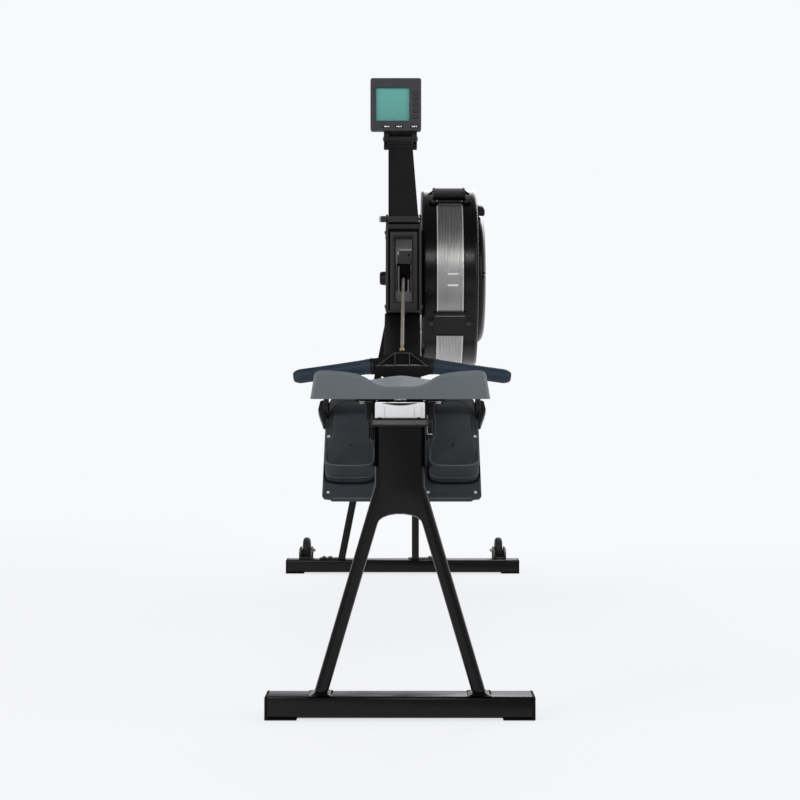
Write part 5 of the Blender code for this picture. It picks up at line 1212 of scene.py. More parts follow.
def keyCap(key):
    # One key with its pale marks, or with one grey mark where it stands beside the screen
    low, high, middle = spanOf(key)
    outline = faceOf(low, high, 0, monitorSizes["keyCorner"])
    standsFor(prism("key_" + key, outline, low.y, high.y, "y", "buttonGrey", 0.0006), key)
    marks, finish, tall = ((-0.0050, 0.0014), (-0.0005, 0.0022), (0.0050, 0.0014)), "paleMark", 0.0013
    if key.startswith("side"):
        marks, finish, tall = ((0, 0.0022),), "plateGrey", 0.0005
    parts = []
    for shift, half in marks:
        start = (middle.x + shift - half, low.y - 0.0001, middle.z - tall)
        end = (middle.x + shift + half, low.y + 0.0004, middle.z + tall)
        parts.append(slab(key + "Mark", start, end, finish, 0.0001))
    if len(parts) > 1:
        joined(key + "Mark", bodyOf(key), parts)
    else:
        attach(parts[0], bodyOf(key))


def monitorFront():
    m = monitorSizes
    low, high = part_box("case_front")
    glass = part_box("monitor_screen")
    outline = faceOf(low, high, 0, m["corner"], 6)
    plate = prism("caseFront", outline, low.y, high.y, "y", "caseGrey", m["ease"], 3)
    inside = faceOf(low, high, -0.0028, 0.004)
    tools = [prism("tray", inside, low.y + m["wall"], high.y + 0.01, "y", "caseGrey")]
    holes = [faceOf(*glass, -0.003, m["windowCorner"])]
    keys = [f"side_button_{n}" for n in range(1, 6)] + [f"low_button_{n}" for n in range(1, 4)]
    for key in keys:
        holes.append(faceOf(*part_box(key), m["keyGap"], m["keyCorner"] + m["keyGap"]))
        keyCap(key)
    tools += [prism("hole", hole, low.y - 0.01, low.y + 0.008, "y", "caseGrey") for hole in holes]
    standsFor(hollowed(plate, *tools), "case_front")
    ringOf(
        "screenRim", bodyOf("case_front"), faceOf(*glass, -0.0018, 0.002), faceOf(*glass, -0.0032, 0.001),
        low.y - 0.0004, low.y + 0.001, "buttonGrey", 0.0003,
    )


def monitorBack():
    m = monitorSizes
    low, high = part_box("case_back")
    body = bodyOf("case_back")
    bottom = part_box("case_front")[0].z
    y, z, r = spanOf("monitor_arm")[2].y, m["tiltZ"], m["tiltRadius"]
    left, right, back = m["armLeft"], m["armRight"], high.y - 0.0008
    outline = rectangle((low.x, bottom), (high.x, high.z), m["corner"], 6)
    standsFor(prism("caseBack", outline, low.y, high.y, "y", "caseGrey", 0.0032, 4), "case_back")
    # two lugs that hold the arm's barrel, and the plate between them
    turns = [math.radians(180 + 180 * index / 16) for index in range(17)]
    ear = [(y - r, bottom + 0.002)] + [(min(y + r * math.cos(a), back), z + r * math.sin(a)) for a in turns]
    ear.append((back, bottom + 0.002))
    ear = [p for i, p in enumerate(ear) if p != ear[i - 1]]
    lugs = [
        prism("lug", ear, x0, x0 + m["lug"], "x", "mouldedBlack", 0.0003)
        for x0 in (left - 0.0003 - m["lug"], right + 0.0003)
    ]
    start, end = (left - 0.001, y - 0.0090, z + 0.0110), (right + 0.001, y + 0.0030, bottom + 0.003)
    joined("tiltLugs", body, lugs + [slab("hingePlate", start, end, "mouldedBlack", 0.0006)])
    joined("batteryDoor", body, [slab("door", start, end, "caseGrey", ease) for start, end, ease in (
        (
            (low.x + 0.022, high.y - 0.001, bottom + 0.020),
            (high.x - 0.022, high.y + 0.0010, bottom + 0.074), 0.0009,
        ),
        ((-0.0262, high.y, bottom + 0.066), (-0.0062, high.y + 0.0022, bottom + 0.071), 0.0007),
    )])
    barRow(
        "speakerSlots", body, (-0.0162, high.y + 0.0002, bottom + 0.088), (0, 0, 0.0042),
        (0.030, 0.0012, 0.0017), 6, "mouldedBlack",
    )
    corners = [
        (x, high.y - 0.0002, z) for x in (low.x + 0.009, high.x - 0.009)
        for z in (bottom + 0.010, high.z - 0.010)
    ]
    bolts("caseScrews", body, [(p, (0, 1, 0)) for p in corners], "blackBolt", 0.0026, 0.0012, 0.0034, 0.0011)
    reach = m["lug"] + 0.0006
    ends = [((left - reach, y, z), (-1, 0, 0)), ((right + reach, y, z), (1, 0, 0))]
    bolts("tiltBolts", body, ends, "mouldedBlack", 0.0046, 0.0009, 0.0062, 0.0020)


def armFittings():
    # The barrel and washers that close the slits between the arm and the lugs, and the arm's foot
    m = monitorSizes
    low, _, middle = spanOf("monitor_arm")
    left, right = m["armLeft"], m["armRight"]
    joined("hingeCollars", "monitor_arm", [
        stud(
            "part", (x0, middle.y, m["tiltZ"]), (x1, middle.y, m["tiltZ"]), r, "mouldedBlack", steps=steps,
            ease=0.0002,
        )
        for x0, x1, r, steps in (
            (left - 0.0002, left + 0.003, m["barrel"], 40), (right - 0.003, right + 0.0002, m["barrel"], 40),
            (left + 0.003, right - 0.003, m["barrel"] + 0.00013, 72),
        )
    ])
    # painted light: the arm's foot is a lighter black than the arm, standing in for its tilted face catching
    # more light
    start, end = (low.x - 0.0004, low.y - 0.0010, 0.8982), (0.0392, low.y + 0.004, 0.9135)
    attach(slab("armFoot", start, end, "housingBlack", 0.0006), "monitor_arm")
    pin = (low.x - 0.0002, middle.y, low.z + 0.006)
    bolts("armPinHead", "monitor_arm", [(pin, (-1, 0, 0))], "paleZinc", 0.0062, 0.0034, 0.0078, 0.0024)


monitorFront()
monitorBack()
armFittings()
print("monitor made")

# Chain

chainSizes = {
    "pitch": 0.0064, "plateHeight": 0.0052, "waist": 0.34, "plate": 0.0009, "pin": 0.001364,
    "pinOut": 0.0012, "outerSpread": 0.0052, "innerSpread": 0.0032, "axisDown": 0.0032,
}


def chainLink(name, spread):
    # Two waisted plates at this spread, with a pin through each end
    c = chainSizes
    half, high, near = c["pitch"] / 2, c["plateHeight"], spread / 2
    plate = []
    for centre, start in ((half, -90), (-half, 90)):
        turns = [math.radians(start + 30 * index) for index in range(7)]
        plate += [(centre + high / 2 * math.cos(a), high / 2 * math.sin(a)) for a in turns]
        plate.append((0, -math.copysign(high * c["waist"], start)))
    turns = [math.radians(60 * index) for index in range(6)]
    bars = [(plate, side * near, side * (near + c["plate"])) for side in (-1, 1)]
    for centre in (-half, half):
        pin = [(centre + c["pin"] * math.cos(a), c["pin"] * math.sin(a)) for a in turns]
        bars.append((pin, -near - c["pinOut"], near + c["pinOut"]))
    shape = bmesh.new()
    for outline, start, end in bars:
        rings = [[shape.verts.new((u, x, v)) for u, v in outline] for x in (start, end)]
        for ring in rings:
            shape.faces.new(ring)
        wrapped(shape, *rings)
    return added(name, meshOf(shape, name))


def alongLine(tree, s):
    # Points a pitch apart along the carrier's line, and the way that each is turned
    path = geo(tree, "MeshToCurve", Mesh=s["Geometry"])
    even = geo(tree, "ResampleCurve", {"mode": "LENGTH"}, Curve=path, Length=s["Pitch"])
    points = geo(tree, "CurveToPoints", {"mode": "EVALUATED"}, Curve=even)
    tangent = points.outputs["Tangent"]
    return points, step(tree, "FunctionNodeAlignRotationToVector", {"axis": "X"}, Vector=tangent)


def chainTree():
    tree, s = nodeTree("chainLinks", {
        "Pitch": 0.0064, "Outer Link": "NodeSocketObject", "Inner Link": "NodeSocketObject",
    })
    points, turn = alongLine(tree, s)
    odd = maths(tree, "MODULO", geo(tree, "InputIndex"), 2.0)
    spread = []
    for label, test in (("Outer Link", "GREATER_THAN"), ("Inner Link", "LESS_THAN")):
        link = geo(tree, "ObjectInfo", Object=s[label]).outputs["Geometry"]
        chosen = maths(tree, test, odd, 0.5)
        spread.append(geo(
            tree, "InstanceOnPoints", Points=points, Instance=link, Selection=chosen, Rotation=turn
        ))
    return finished(tree, s, geo(tree, "JoinGeometry", Geometry=spread))


def chainRun():
    # From the swivel to the housing's mouth, and on level to the sprocket
    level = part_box("chain")[1].z - chainSizes["axisDown"]
    turnAt = Vector((0.003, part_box("chain_housing")[0].y + 0.030, level))
    _, swivelHigh, swivelMiddle = spanOf("chain_swivel")
    tip = Vector((0, swivelMiddle.y, swivelHigh.z + 0.0015))
    carrier = lineCarrier("chainPath", [tip, turnAt, Vector((0.003, axleY + 0.004, level))])
    links = [chainLink(name, chainSizes[name + "Spread"]) for name in ("outer", "inner")]
    chain = grown("rollerChain", carrier, chainTree(), "chainSteel", {
        "Pitch": chainSizes["pitch"], "Outer Link": links[0], "Inner Link": links[1],
    }, smooth=35)
    for template in links:
        bpy.data.objects.remove(template, do_unlink=True)
    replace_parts(chain, "chain")
    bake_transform(chain)


chainRun()
print("chain made")

# Seat

seatSizes = {
    "rear": (  # the rear edge's height over the base, from the middle (0) out to the side (1)
        (0.0, 0.0203), (0.12, 0.0203), (0.17, 0.0206), (0.23, 0.0220), (0.29, 0.0252), (0.35, 0.0300),
        (0.40, 0.0342), (0.46, 0.0379), (0.515, 0.0401), (0.60, 0.0419), (0.70, 0.0431), (0.90, 0.0445),
        (1.0, 0.0436),
    ),
    "pommel": 0.0370, "bowl": 0.010, "edge": 0.0085, "across": 84, "along": 66, "pocketHalf": 0.0485,
}


def smoothStep(value):
    value = min(1.0, max(0.0, value))
    return value * value * (3 - 2 * value)


def readOff(points, place):
    for (start, low), (end, high) in zip(points, points[1:]):
        if place <= end:
            return low + (high - low) * (place - start) / (end - start)
    return points[-1][1]


def seatHeight(across, along, half):
    # High at the sides of the rear edge, low at the front, with a bowl under each thigh
    s = seatSizes
    x = abs(across) * half
    rear = readOff(s["rear"], abs(across))
    front = s["pommel"] - 0.0065 * smoothStep(x / (half * 0.45))
    front -= 0.010 * smoothStep((x - half * 0.5) / (half * 0.5))
    share = smoothStep((along + 1) / 2 * 1.15 - 0.10)
    bowl = s["bowl"] * (1 - along * along) * math.exp(-((x - half * 0.40) / (half * 0.42)) ** 2)
    return rear + (front - rear) * share - bowl * (1 - 0.5 * share)


def seatShell():
    s = seatSizes
    low, high, middle = spanOf("seat_shell")
    halfWide, halfLong = (high.x - low.x) / 2, (high.y - low.y) / 2
    across, along, edge = s["across"], s["along"], s["edge"]
    shape = bmesh.new()
    tops, bottoms = {}, {}
    for i in range(across + 1):
        for j in range(along + 1):
            # closer together towards the edges, which curve out in the middle and turn down
            u, v = (share * (1.5 - 0.5 * share * share) for share in (2 * i / across - 1, 2 * j / along - 1))
            x = u * math.sqrt(1 - 0.10 * v**4) * halfWide * (1 - 0.05 * smoothStep((v - 0.2) / 0.8))
            y = v * math.sqrt(1 - 0.10 * u**4) * halfLong
            fromSide = max(0.0, 1 - (1 - abs(u)) * halfWide / edge)
            fromEnd = max(0.0, 1 - (1 - abs(v)) * halfLong / edge)
            t = min(1.0, math.hypot(fromSide, fromEnd))
            height = seatHeight(u, v, halfWide) - edge * (1 - math.sqrt(1 - t * t))
            tops[i, j] = shape.verts.new((x * 0.960, middle.y + y * 0.978, low.z + height))
            bottoms[i, j] = shape.verts.new((x * 0.998, middle.y + y * 0.998, low.z))
    for i in range(across):
        for j in range(along):
            corners = [(i, j), (i + 1, j), (i + 1, j + 1), (i, j + 1)]
            shape.faces.new([tops[corner] for corner in corners])
            shape.faces.new([bottoms[corner] for corner in reversed(corners)])
    rim = [(i, 0) for i in range(across)] + [(across, j) for j in range(along)]
    rim += [(i, along) for i in range(across, 0, -1)] + [(0, j) for j in range(along, 0, -1)]
    wrapped(shape, [tops[corner] for corner in rim], [bottoms[corner] for corner in rim])
    seat = newPiece("seatTop", meshOf(shape, "seatTop"), "speckledSeat", 50)
    # a hollow underneath for the carriage and its rollers
    carriageLow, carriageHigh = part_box("seat_carriage")
    start, end = (-s["pocketHalf"], carriageLow.y - 0.004), (s["pocketHalf"], carriageHigh.y + 0.004)
    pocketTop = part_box("seat_roller_rear")[1].z + 0.0006
    pocket = prism("pocket", rectangle(start, end, 0.003), low.z - 0.02, pocketTop, "z", "speckledSeat")
    standsFor(hollowed(seat, pocket, smooth=None), "seat_shell")


seatShell()
print("seat made")

# Handle

gripSizes = {
    "radius": 0.0165, "swell": 0.0015, "bore": 0.0098, "drop": math.radians(8.0), "barDown": 0.0095,
    "nose": (  # how far back from the tip, and the share of the radius there
        (0.0180, 1.0), (0.0150, 0.985), (0.0110, 0.93), (0.0060, 0.82), (0.0030, 0.72), (0.0012, 0.62),
        (0.0002, 0.48), (0, 0.3), (0, 0),
    ),
}


def grips():
    g = gripSizes
    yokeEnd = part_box("handle_yoke")[1].x
    y, top = spanOf("handle_core")[2].y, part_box("handle_core")[1].z - g["barDown"]
    r, bore, wide = g["radius"], g["bore"], g["radius"] + g["swell"]
    for side, word in ((-1, "Left"), (1, "Right")):
        node = "grip_" + word.lower()
        outer = max(abs(corner.x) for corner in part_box(node))
        start = Vector((side * (yokeEnd + 0.0003), y, top))
        run = Vector((side, 0, -math.tan(g["drop"]))).normalized()
        length = (outer - abs(start.x)) / abs(run.x) - 0.0006
        lean = math.sin(g["drop"]) * wide
        seat = length - r * 0.8 + 0.0003
        profile = [(seat, 0), (seat, bore), (lean, bore), (lean, wide - 0.0012), (lean + 0.0012, wide)]
        profile += [(lean + 0.010, wide), (lean + 0.0125, wide - 0.0008), (lean + 0.015, r + 0.0008)]
        profile += [(length * 0.35, r + 0.0002), (length * 0.6, r - 0.0001), (length * 0.85, r)]
        profile += [(length - back, r * share) for back, share in g["nose"]]
        turn = run.to_track_quat("Z", "Y").to_matrix().to_4x4()
        standsFor(lathed("grip" + word, profile, start, "z", 48, "gripNavy", turn=turn), node)
        # the yoke's own collar, which closes the slit between it and the sleeve
        near, far = (side * (yokeEnd - 0.004), y, top - 0.0001), (side * (yokeEnd + 0.0042), y, top - 0.0006)
        collar = stud("gripCollar" + word, near, far, wide + 0.0012, "mouldedBlack", steps=48)
        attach(collar, bodyOf("handle_yoke"))


def swivel():
    low, high, middle = spanOf("chain_swivel")
    r, tall = (high.x - low.x) / 2, high.z - low.z
    shares = ((0, 0), (0, 0.7), (0.16, 1), (0.34, 1), (0.38, 0.9), (0.42, 1), (0.58, 1), (0.66, 0.86))
    shares += ((0.74, 0.62), (0.92, 0.58), (1, 0.36), (1, 0))
    profile = filleted([(tall * along, r * share) for along, share in shares], 0.0004, False, 2)
    piece = lathed("chainSwivel", profile, (middle.x, middle.y, low.z), "z", 32, "brass")
    standsFor(piece, "chain_swivel")


# painted highlight lines, where the yoke's rib edges catch the light
ribHighlightLines = (  # the ends of the yoke's ribs, as (x, z)
    ((-0.0164, 0.5662), (-0.0164, 0.5385)), ((0.0171, 0.5662), (0.0171, 0.5385)),
    ((-0.0190, 0.5664), (-0.0570, 0.5387)), ((0.0196, 0.5664), (0.0570, 0.5387)),
    ((-0.0625, 0.5382), (0.0625, 0.5382)), ((-0.0190, 0.5672), (0.0196, 0.5672)),
)


def yokeRibs():
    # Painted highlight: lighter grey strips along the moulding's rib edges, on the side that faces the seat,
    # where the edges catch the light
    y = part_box("handle_yoke")[0].y + 0.0004
    joined("yokeRibs", bodyOf("handle_yoke"), [
        stud("rib", (x0, y, z0), (x1, y, z1), 0.0007, "hoodGrey", 0.0003, 10, 0.0002)
        for (x0, z0), (x1, z1) in ribHighlightLines
    ])


grips()
swivel()
yokeRibs()
print("handle made")

# Rail's end, carriage fittings and rollers

railEndSizes = {
    "low": 0.4352, "high": 0.4476, "half": 0.0430, "ribs": 19, "arch": 0.0036, "archHalf": 0.0262,
    "lines": (-0.0229, 0.0213, 0.0327), "feet": (-0.0300, 0.0280),
}


def railEnd():
    # A ribbed strip on the leg under the cap; on the cap a black arch that is painted shadow from the
    # carriage above, darker grey strips that are painted shade in its grooves, and its feet
    r = railEndSizes
    low, high, half = r["low"], r["high"], r["half"]
    capLow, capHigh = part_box("rail_end_cap")
    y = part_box("rear_leg")[0].y
    for name, start, end, finish, ease in (
        ("strip", (-half, y - 0.0022, low), (half, y + 0.001, high), "mouldedBlack", 0.0008),
        (
            "stripBand", (0.004 - half, y - 0.0028, low + 0.0034), (half - 0.004, y - 0.0015, high - 0.0028),
            "hoodGrey", 0.0004,
        ),
    ):
        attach(slab(name, start, end, finish, ease), "frame")
    barRow(
        "stripRibs", "frame", (0.003 - half, y - 0.0024, (low + high) / 2),
        (2 * (half - 0.003) / (r["ribs"] - 1), 0, 0), (0.0012, 0.0016, 0.0076), r["ribs"], "hoodGrey",
    )
    # painted shadow: a black lens across the top of the cap, where the carriage above shades it
    wide = r["archHalf"]
    lens = [(wide * (i / 10 - 1), capHigh.z - 0.0006) for i in range(21)]
    lens += [
        (wide * (1 - i / 10), capHigh.z - 0.0007 - r["arch"] * math.sin(math.pi * i / 20))
        for i in range(1, 20)
    ]
    arch = prism("capArch", lens, capLow.y - 0.0005, capLow.y + 0.001, "y", "mouldedBlack", 0.0002)
    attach(arch, "frame")
    # capLines are painted shade: darker grey strips standing in for the shade in the cap's grooves
    for name, places, wide, out, start, end, finish, ease in (
        ("capLines", r["lines"], 0.0004, 0.0005, capLow.z + 0.001, capHigh.z - 0.006, "windowGrey", 0.0002),
        ("capFeet", r["feet"], 0.0026, 0.0010, capLow.z - 0.0006, capLow.z + 0.0016, "mouldedBlack", 0.0004),
    ):
        joined(name, "frame", [
            slab("part", (x - wide, capLow.y - out, start), (x + wide, capLow.y + 0.001, end), finish, ease)
            for x in places
        ])


def carriageFittings():
    low, high, middle = spanOf("seat_carriage")
    body = bodyOf("seat_carriage")
    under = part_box("seat_shell")[0].z - 0.0035
    spots = [
        ((side * 0.0578, y, under), (0, 0, -1)) for side in (-1, 1)
        for y in (low.y + 0.010, middle.y, high.y - 0.010)
    ]
    bolts("seatBolts", body, spots, "paleZinc", 0.0052, 0.0034, 0.0066, 0.0022)
    joined("carriageEdge", body, [
        slab("edge", (x0, low.y - 0.0006, z0), (x1, low.y + 0.0030, z1), "paleZinc", 0.0003)
        for x0, x1, z0, z1 in ((0.0412, 0.0424, 0.4215, 0.4500), (0.0424, 0.0500, 0.4196, 0.4212))
    ])
    wipers = []
    for side in (-1, 1):
        for out, near, far, z0, z1 in (
            (0.0530, -0.0008, 0.0100, 0.4420, 0.4700), (0.0500, 0.0010, 0.0110, 0.4130, 0.4400),
        ):
            x0, x1 = sorted((side * 0.0440, side * out))
            start, end = (x0, low.y + near, z0), (x1, low.y + far, z1)
            wipers.append(slab("wiper", start, end, "mouldedBlack", 0.0012))
    joined("carriageWipers", body, wipers)


def rollers():
    # White rollers with a shallow groove; each seat roller is a pair on one axle
    for node in ("seat_roller_front", "seat_roller_rear", "guide_roller_left", "guide_roller_right"):
        low, high, middle = spanOf(node)
        r = (high.z - low.z) / 2
        if node.startswith("seat"):
            half = [(0.0220, 0.0030), (0.0220, r - 0.0012), (0.0232, r), (0.0262, r), (0.0268, r - 0.0005)]
            half += [(0.0292, r - 0.0005), (0.0298, r), (0.0328, r), (0.0340, r - 0.0012), (0.0340, 0.0030)]
            half += [(high.x, 0.0030), (high.x, 0)]
            profile = [(-x, radius) for x, radius in reversed(half)] + half
        else:
            side = 1 if high.x > 0 else -1
            near, far = (low.x, high.x) if side > 0 else (high.x, low.x)
            steps = [(0, 0), (0, r - 0.0014), (0.0010, r - 0.0002), (0.0040, r - 0.0002)]
            steps += [(0.0046, r - 0.0008), (0.0066, r - 0.0008), (0.0072, r - 0.0002)]
            steps += [(0.0108, r - 0.0002), (0.0110, r - 0.0014)]
            profile = [(near + side * x, radius) for x, radius in steps + [(0.0110, 0.0030)]]
            profile += [(far, 0.0030), (far, 0)]
        place = (0, middle.y, middle.z)
        standsFor(lathed("roller_" + node, profile, place, "x", 32, "rollerWhite"), node)


railEnd()
carriageFittings()
rollers()
print("rail end and carriage made")

# Footboards, straps and buckles

boardSizes = {
    "heelY": -0.0200, "heelZ": 0.250, "angle": math.radians(42), "long": 0.311, "inside": 0.0443,
    "outside": 0.1703, "centre": 0.112, "bolts": ((0.1618, 0.195), (0.1578, 0.022), (0.0565, 0.022)),
    "boltSunk": 0.0024,
}
strapSizes = {
    "span": 0.053, "rise": 0.052, "thick": 0.003, "low": 0.0003, "start": 0.255, "wide": 0.036,
    "stitch": 0.0042, "steps": 64, "across": 10, "thinned": 0.3,
}

# x stays, y runs up the board from its heel, z stands off its face
boardTurn = Matrix.Translation((0, boardSizes["heelY"], boardSizes["heelZ"]))
boardTurn = boardTurn @ Matrix.Rotation(boardSizes["angle"], 4, "X")


def onBoard(x, up, off):
    return boardTurn @ Vector((x, up, off))


def boardPrism(outline, low, high, axis, finish, ease, segments=2, name="part"):
    return prism(name, outline, low, high, axis, finish, ease, segments, boardTurn)


def stitchTree():
    tree, s = nodeTree("stitchRow", {"Pitch": 0.004, "Long": 0.0028, "Thick": 0.0005})
    points, turn = alongLine(tree, s)
    thread = geo(tree, "MeshCube", Size=vector(tree, X=s["Long"], Y=s["Thick"], Z=s["Thick"]))
    return finished(tree, s, geo(tree, "InstanceOnPoints", Points=points, Instance=thread, Rotation=turn))


def tubeTree():
    tree, s = nodeTree("roundBead", {"Radius": 0.001, "Sides": 8})
    path = geo(tree, "MeshToCurve", Mesh=s["Geometry"])
    ring = geo(
        tree, "CurvePrimitiveCircle", {"mode": "RADIUS"}, Resolution=s["Sides"], Radius=s["Radius"]
    )
    return finished(tree, s, geo(tree, "CurveToMesh", Curve=path, Profile_Curve=ring, Fill_Caps=True))


stitchRow = stitchTree()
roundBead = tubeTree()


def bead(name, points, radius, finish):
    # A thin round bar along a line of points
    values = {"Radius": radius, "Sides": 8}
    made = grown(name, lineCarrier(name, points), roundBead, finish, values, outwards=True)
    made.data.shade_smooth()
    return made


def strapBand(side, word):
    # Round the loop: the outside of the band then its inside, as one closed section
    s = strapSizes
    centre, name = side * boardSizes["centre"], "footStrap" + word
    shape = bmesh.new()
    uv = shape.loops.layers.uv.new("weave")
    shares = [j / s["across"] for j in range(s["across"] + 1)]
    rings, length, before = [], 0.0, None

    def face(corners):
        made = shape.faces.new([corner[0] for corner in corners])
        for loop, (_, u, v) in zip(made.loops, corners):
            loop[uv].uv = (u, v)

    for index in range(s["steps"] + 1):
        a = math.pi * index / s["steps"]
        outer, inner = (
            Vector(((s["span"] - t) * math.cos(a), s["low"] + (s["rise"] - t) * math.sin(a)))
            for t in (0, s["thick"])
        )
        length += (outer - before).length if before is not None else 0.0
        before = outer
        ring = []
        for here, there, order in ((outer, inner, shares), (inner, outer, shares[::-1])):
            for share in order:
                spot = here.lerp(there, s["thinned"] * abs(2 * share - 1) ** 6)
                place = onBoard(centre + side * spot.x, s["start"] + s["wide"] * share, spot.y)
                ring.append((shape.verts.new(place), share, length / s["wide"]))
        rings.append(ring)
    for first, second in zip(rings, rings[1:]):
        for j in range(len(first)):
            k = (j + 1) % len(first)
            face((first[j], first[k], second[k], second[j]))
    face(rings[0])
    face(rings[-1])
    standsFor(newPiece(name, meshOf(shape, name), "wovenStrap", 50), "strap_" + word.lower())
    threads = []
    turns = [math.pi * i / 60 for i in range(2, 59)]
    span, rise = s["span"] + 0.0001, s["rise"] + 0.0001
    for up in (s["start"] + 0.0032, s["start"] + s["wide"] - 0.0032):
        line = [
            onBoard(centre + side * span * math.cos(a), up, s["low"] + rise * math.sin(a)) for a in turns
        ]
        threads.append(grown("stitch", lineCarrier("stitchLine", line), stitchRow, "hoodGrey", {
            "Pitch": s["stitch"], "Long": 0.0028, "Thick": 0.0006,
        }))
    joined("strapStitches" + word, bodyOf("strap_" + word.lower()), threads)


def buckle(side, word):
    # A rounded plate with the bars that the webbing turns round, its release lever, and a keeper
    s = strapSizes
    body = bodyOf("strap_" + word.lower())
    edge = side * (boardSizes["centre"] + s["span"])
    first, last = s["start"], s["start"] + s["wide"]
    plate = filleted([
        (first - 0.0080, 0.0004), (last + 0.0080, 0.0004), (last + 0.0050, 0.0240), (first + 0.0040, 0.0275),
    ], 0.006, True, 5)
    near, far = sorted((edge - side * 0.0012, edge + side * 0.0095))
    # the lever is wide at the strap and narrows down towards the board's edge
    lever = filleted([(edge + side * out, up) for out, up in (
        (0.0060, last + 0.0050), (0.0185, last + 0.0010), (0.0222, first + 0.0100), (0.0180, first - 0.0080),
        (0.0090, first - 0.0400), (0.0045, first - 0.0400), (0.0040, first - 0.0020),
    )], 0.005, True, 5)
    parts = [
        boardPrism(plate, near, far, "x", "mouldedBlack", 0.0016, 3),
        boardPrism(lever, 0.0020, 0.0185, "z", "mouldedBlack", 0.0026, 3),
    ]
    for number in range(4):
        up, reach = first - 0.0200 + number * 0.0062, 0.0125 + number * 0.0016
        ends = [onBoard(edge + side * out, up, 0.0186) for out in (0.0070, reach)]
        parts.append(stud("grip", *ends, 0.0011, "mouldedBlack", 0.0004, 8))
    for off in (0.0060, 0.0205):
        ends = [onBoard(edge + side * 0.0085, up, off) for up in (first - 0.0070, last + 0.0070)]
        parts.append(stud("bar", *ends, 0.0024, "mouldedBlack", 0.0008, 12))
    joined("buckle" + word, body, parts)
    inner = side * (boardSizes["centre"] - s["span"])
    near, far = sorted((inner + side * 0.0008, inner - side * 0.0050))
    keeper = rectangle((first - 0.003, 0.0004), (last + 0.003, 0.0095), 0.003)
    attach(boardPrism(keeper, near, far, "x", "mouldedBlack", 0.0010, name="keeper" + word), body)


def boardParts(side, word):
    b = boardSizes
    body = bodyOf("footboard_" + word.lower())
    out = (onBoard(0, 0, 1) - onBoard(0, 0, 0)).normalized()
    # level with the board's face, because the shoe insert slides over them
    spots = [(onBoard(side * x, up, -b["boltSunk"]), out) for x, up in b["bolts"]]
    bolts("boardBolts" + word, body, spots, "boltBright", 0.0035, 0.0018, 0.0040, 0.0013)
    start, end = side * (b["inside"] + 0.002), side * (b["outside"] - 0.022)
    lip = filleted([(start, 0.0012), (end, 0.0012), (end, 0.0050), (start, 0.0050)], 0.001, True, 3)
    near, far = sorted((side * (b["outside"] - 0.0036), side * (b["outside"] - 0.0010)))
    rim = rectangle((near, 0.020), (far, b["long"] - 0.016), 0.001, 3)
    joined("boardRim" + word, body, [
        boardPrism(lip, -0.001, 0.0022, "z", "slateEdge", 0.0007),
        boardPrism(rim, -0.001, 0.0014, "z", "slateEdge", 0.0006),
    ])
    # stiffening ribs underneath, five up the board and seven across it
    ribs = [
        (x - 0.0012, x + 0.0012, 0.026, b["long"] - 0.020, 0.0145)
        for x in (0.060, 0.084, 0.108, 0.132, 0.156)
    ]
    ribs += [
        (0.0590, b["outside"] - 0.010, up - 0.0010, up + 0.0010, 0.0130)
        for up in [0.034 + number * 0.040 for number in range(7)]
    ]
    parts = []
    for x0, x1, low, high, deep in ribs:
        near, far = sorted((side * x0, side * x1))
        section = rectangle((near, low), (far, high), 0.0004, 2)
        parts.append(boardPrism(section, -deep, -0.0055, "z", "slateBoard", 0.0004, 1))
    joined("boardRibs" + word, body, parts)


insertSizes = {
    "heel": 0.053, "toe": 0.037, "start": 0.0485, "long": 0.214, "round": 0.024, "sole": 0.0053,
    "cup": 0.054, "arm": 0.030, "waistUp": 0.0170, "rivetUp": 0.163,
}


def heelLine(side, half, tail, depth, tip, off):
    # From the tip of one arm, round the heel to the tip of the other
    x = boardSizes["centre"]
    back = insertSizes["start"] + insertSizes["round"]
    points = [onBoard(side * (x + half + tail), tip, off)]
    for degrees in range(0, -181, -6):
        a = math.radians(degrees)
        across = math.copysign(abs(math.cos(a)) ** 0.6, math.cos(a))
        points.append(onBoard(side * (x + half * across), back - depth * abs(math.sin(a)) ** 0.6, off))
    return points + [onBoard(side * (x - half - tail), tip, off)]


def insertEdges(side, word):
    # Rims round the heel cup and the sole's edge, whose lighter slate is partly painted highlight; a black
    # bead that is painted shadow round the cup's foot; and the rivet in the sole
    i = insertSizes
    x, sole, end = boardSizes["centre"], i["sole"], i["start"] + i["long"]
    body = bodyOf("insert_" + word.lower())
    tip = i["start"] + i["round"] + i["arm"]
    beads = []
    for off, radius in ((i["cup"] - 0.0004, 0.0013), (i["waistUp"], 0.0011)):
        line = heelLine(side, i["heel"] - 0.0006, 0, i["round"] - 0.0006, tip, off)
        beads.append(bead("rim", line, radius, "slateEdge"))
    for way in (-1, 1):
        edge = (
            (i["heel"] - 0.0004, tip), (i["heel"] * 0.97, i["start"] + i["long"] * 0.48),
            (i["toe"] * 1.05, i["start"] + i["long"] * 0.68), (i["toe"], end),
        )
        line = [onBoard(side * (x + way * out), up, sole - 0.0002) for out, up in edge]
        beads.append(bead("edge", line, 0.0009, "slateEdge"))
    joined("insertRims" + word, body, beads)
    # painted shadow: a black bead round the cup's foot, standing in for the shade under the cup's undercut
    foot = heelLine(side, i["heel"] + 0.0018, 0.0004, i["round"] + 0.0016, tip - 0.004, 0.0030)
    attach(bead("cupSeal" + word, foot, 0.0026, "rubberBlack"), body)
    ends = [onBoard(side * x, i["rivetUp"], sole + off) for off in (-0.001, 0.0008)]
    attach(stud("insertRivet" + word, *ends, 0.0034, "mouldedBlack", 0.0006, 20, 0.0002), body)


for side, word in ((-1, "Left"), (1, "Right")):
    strapBand(side, word)
    buckle(side, word)
    boardParts(side, word)
    insertEdges(side, word)
print("footboards made")

# Casters and the feet's fittings

casterSizes = {
    "tyreHalf": 0.0100, "tyreBore": 0.0180, "ear": 0.0165, "plateHalf": 0.0190, "plateLow": 0.0240,
}


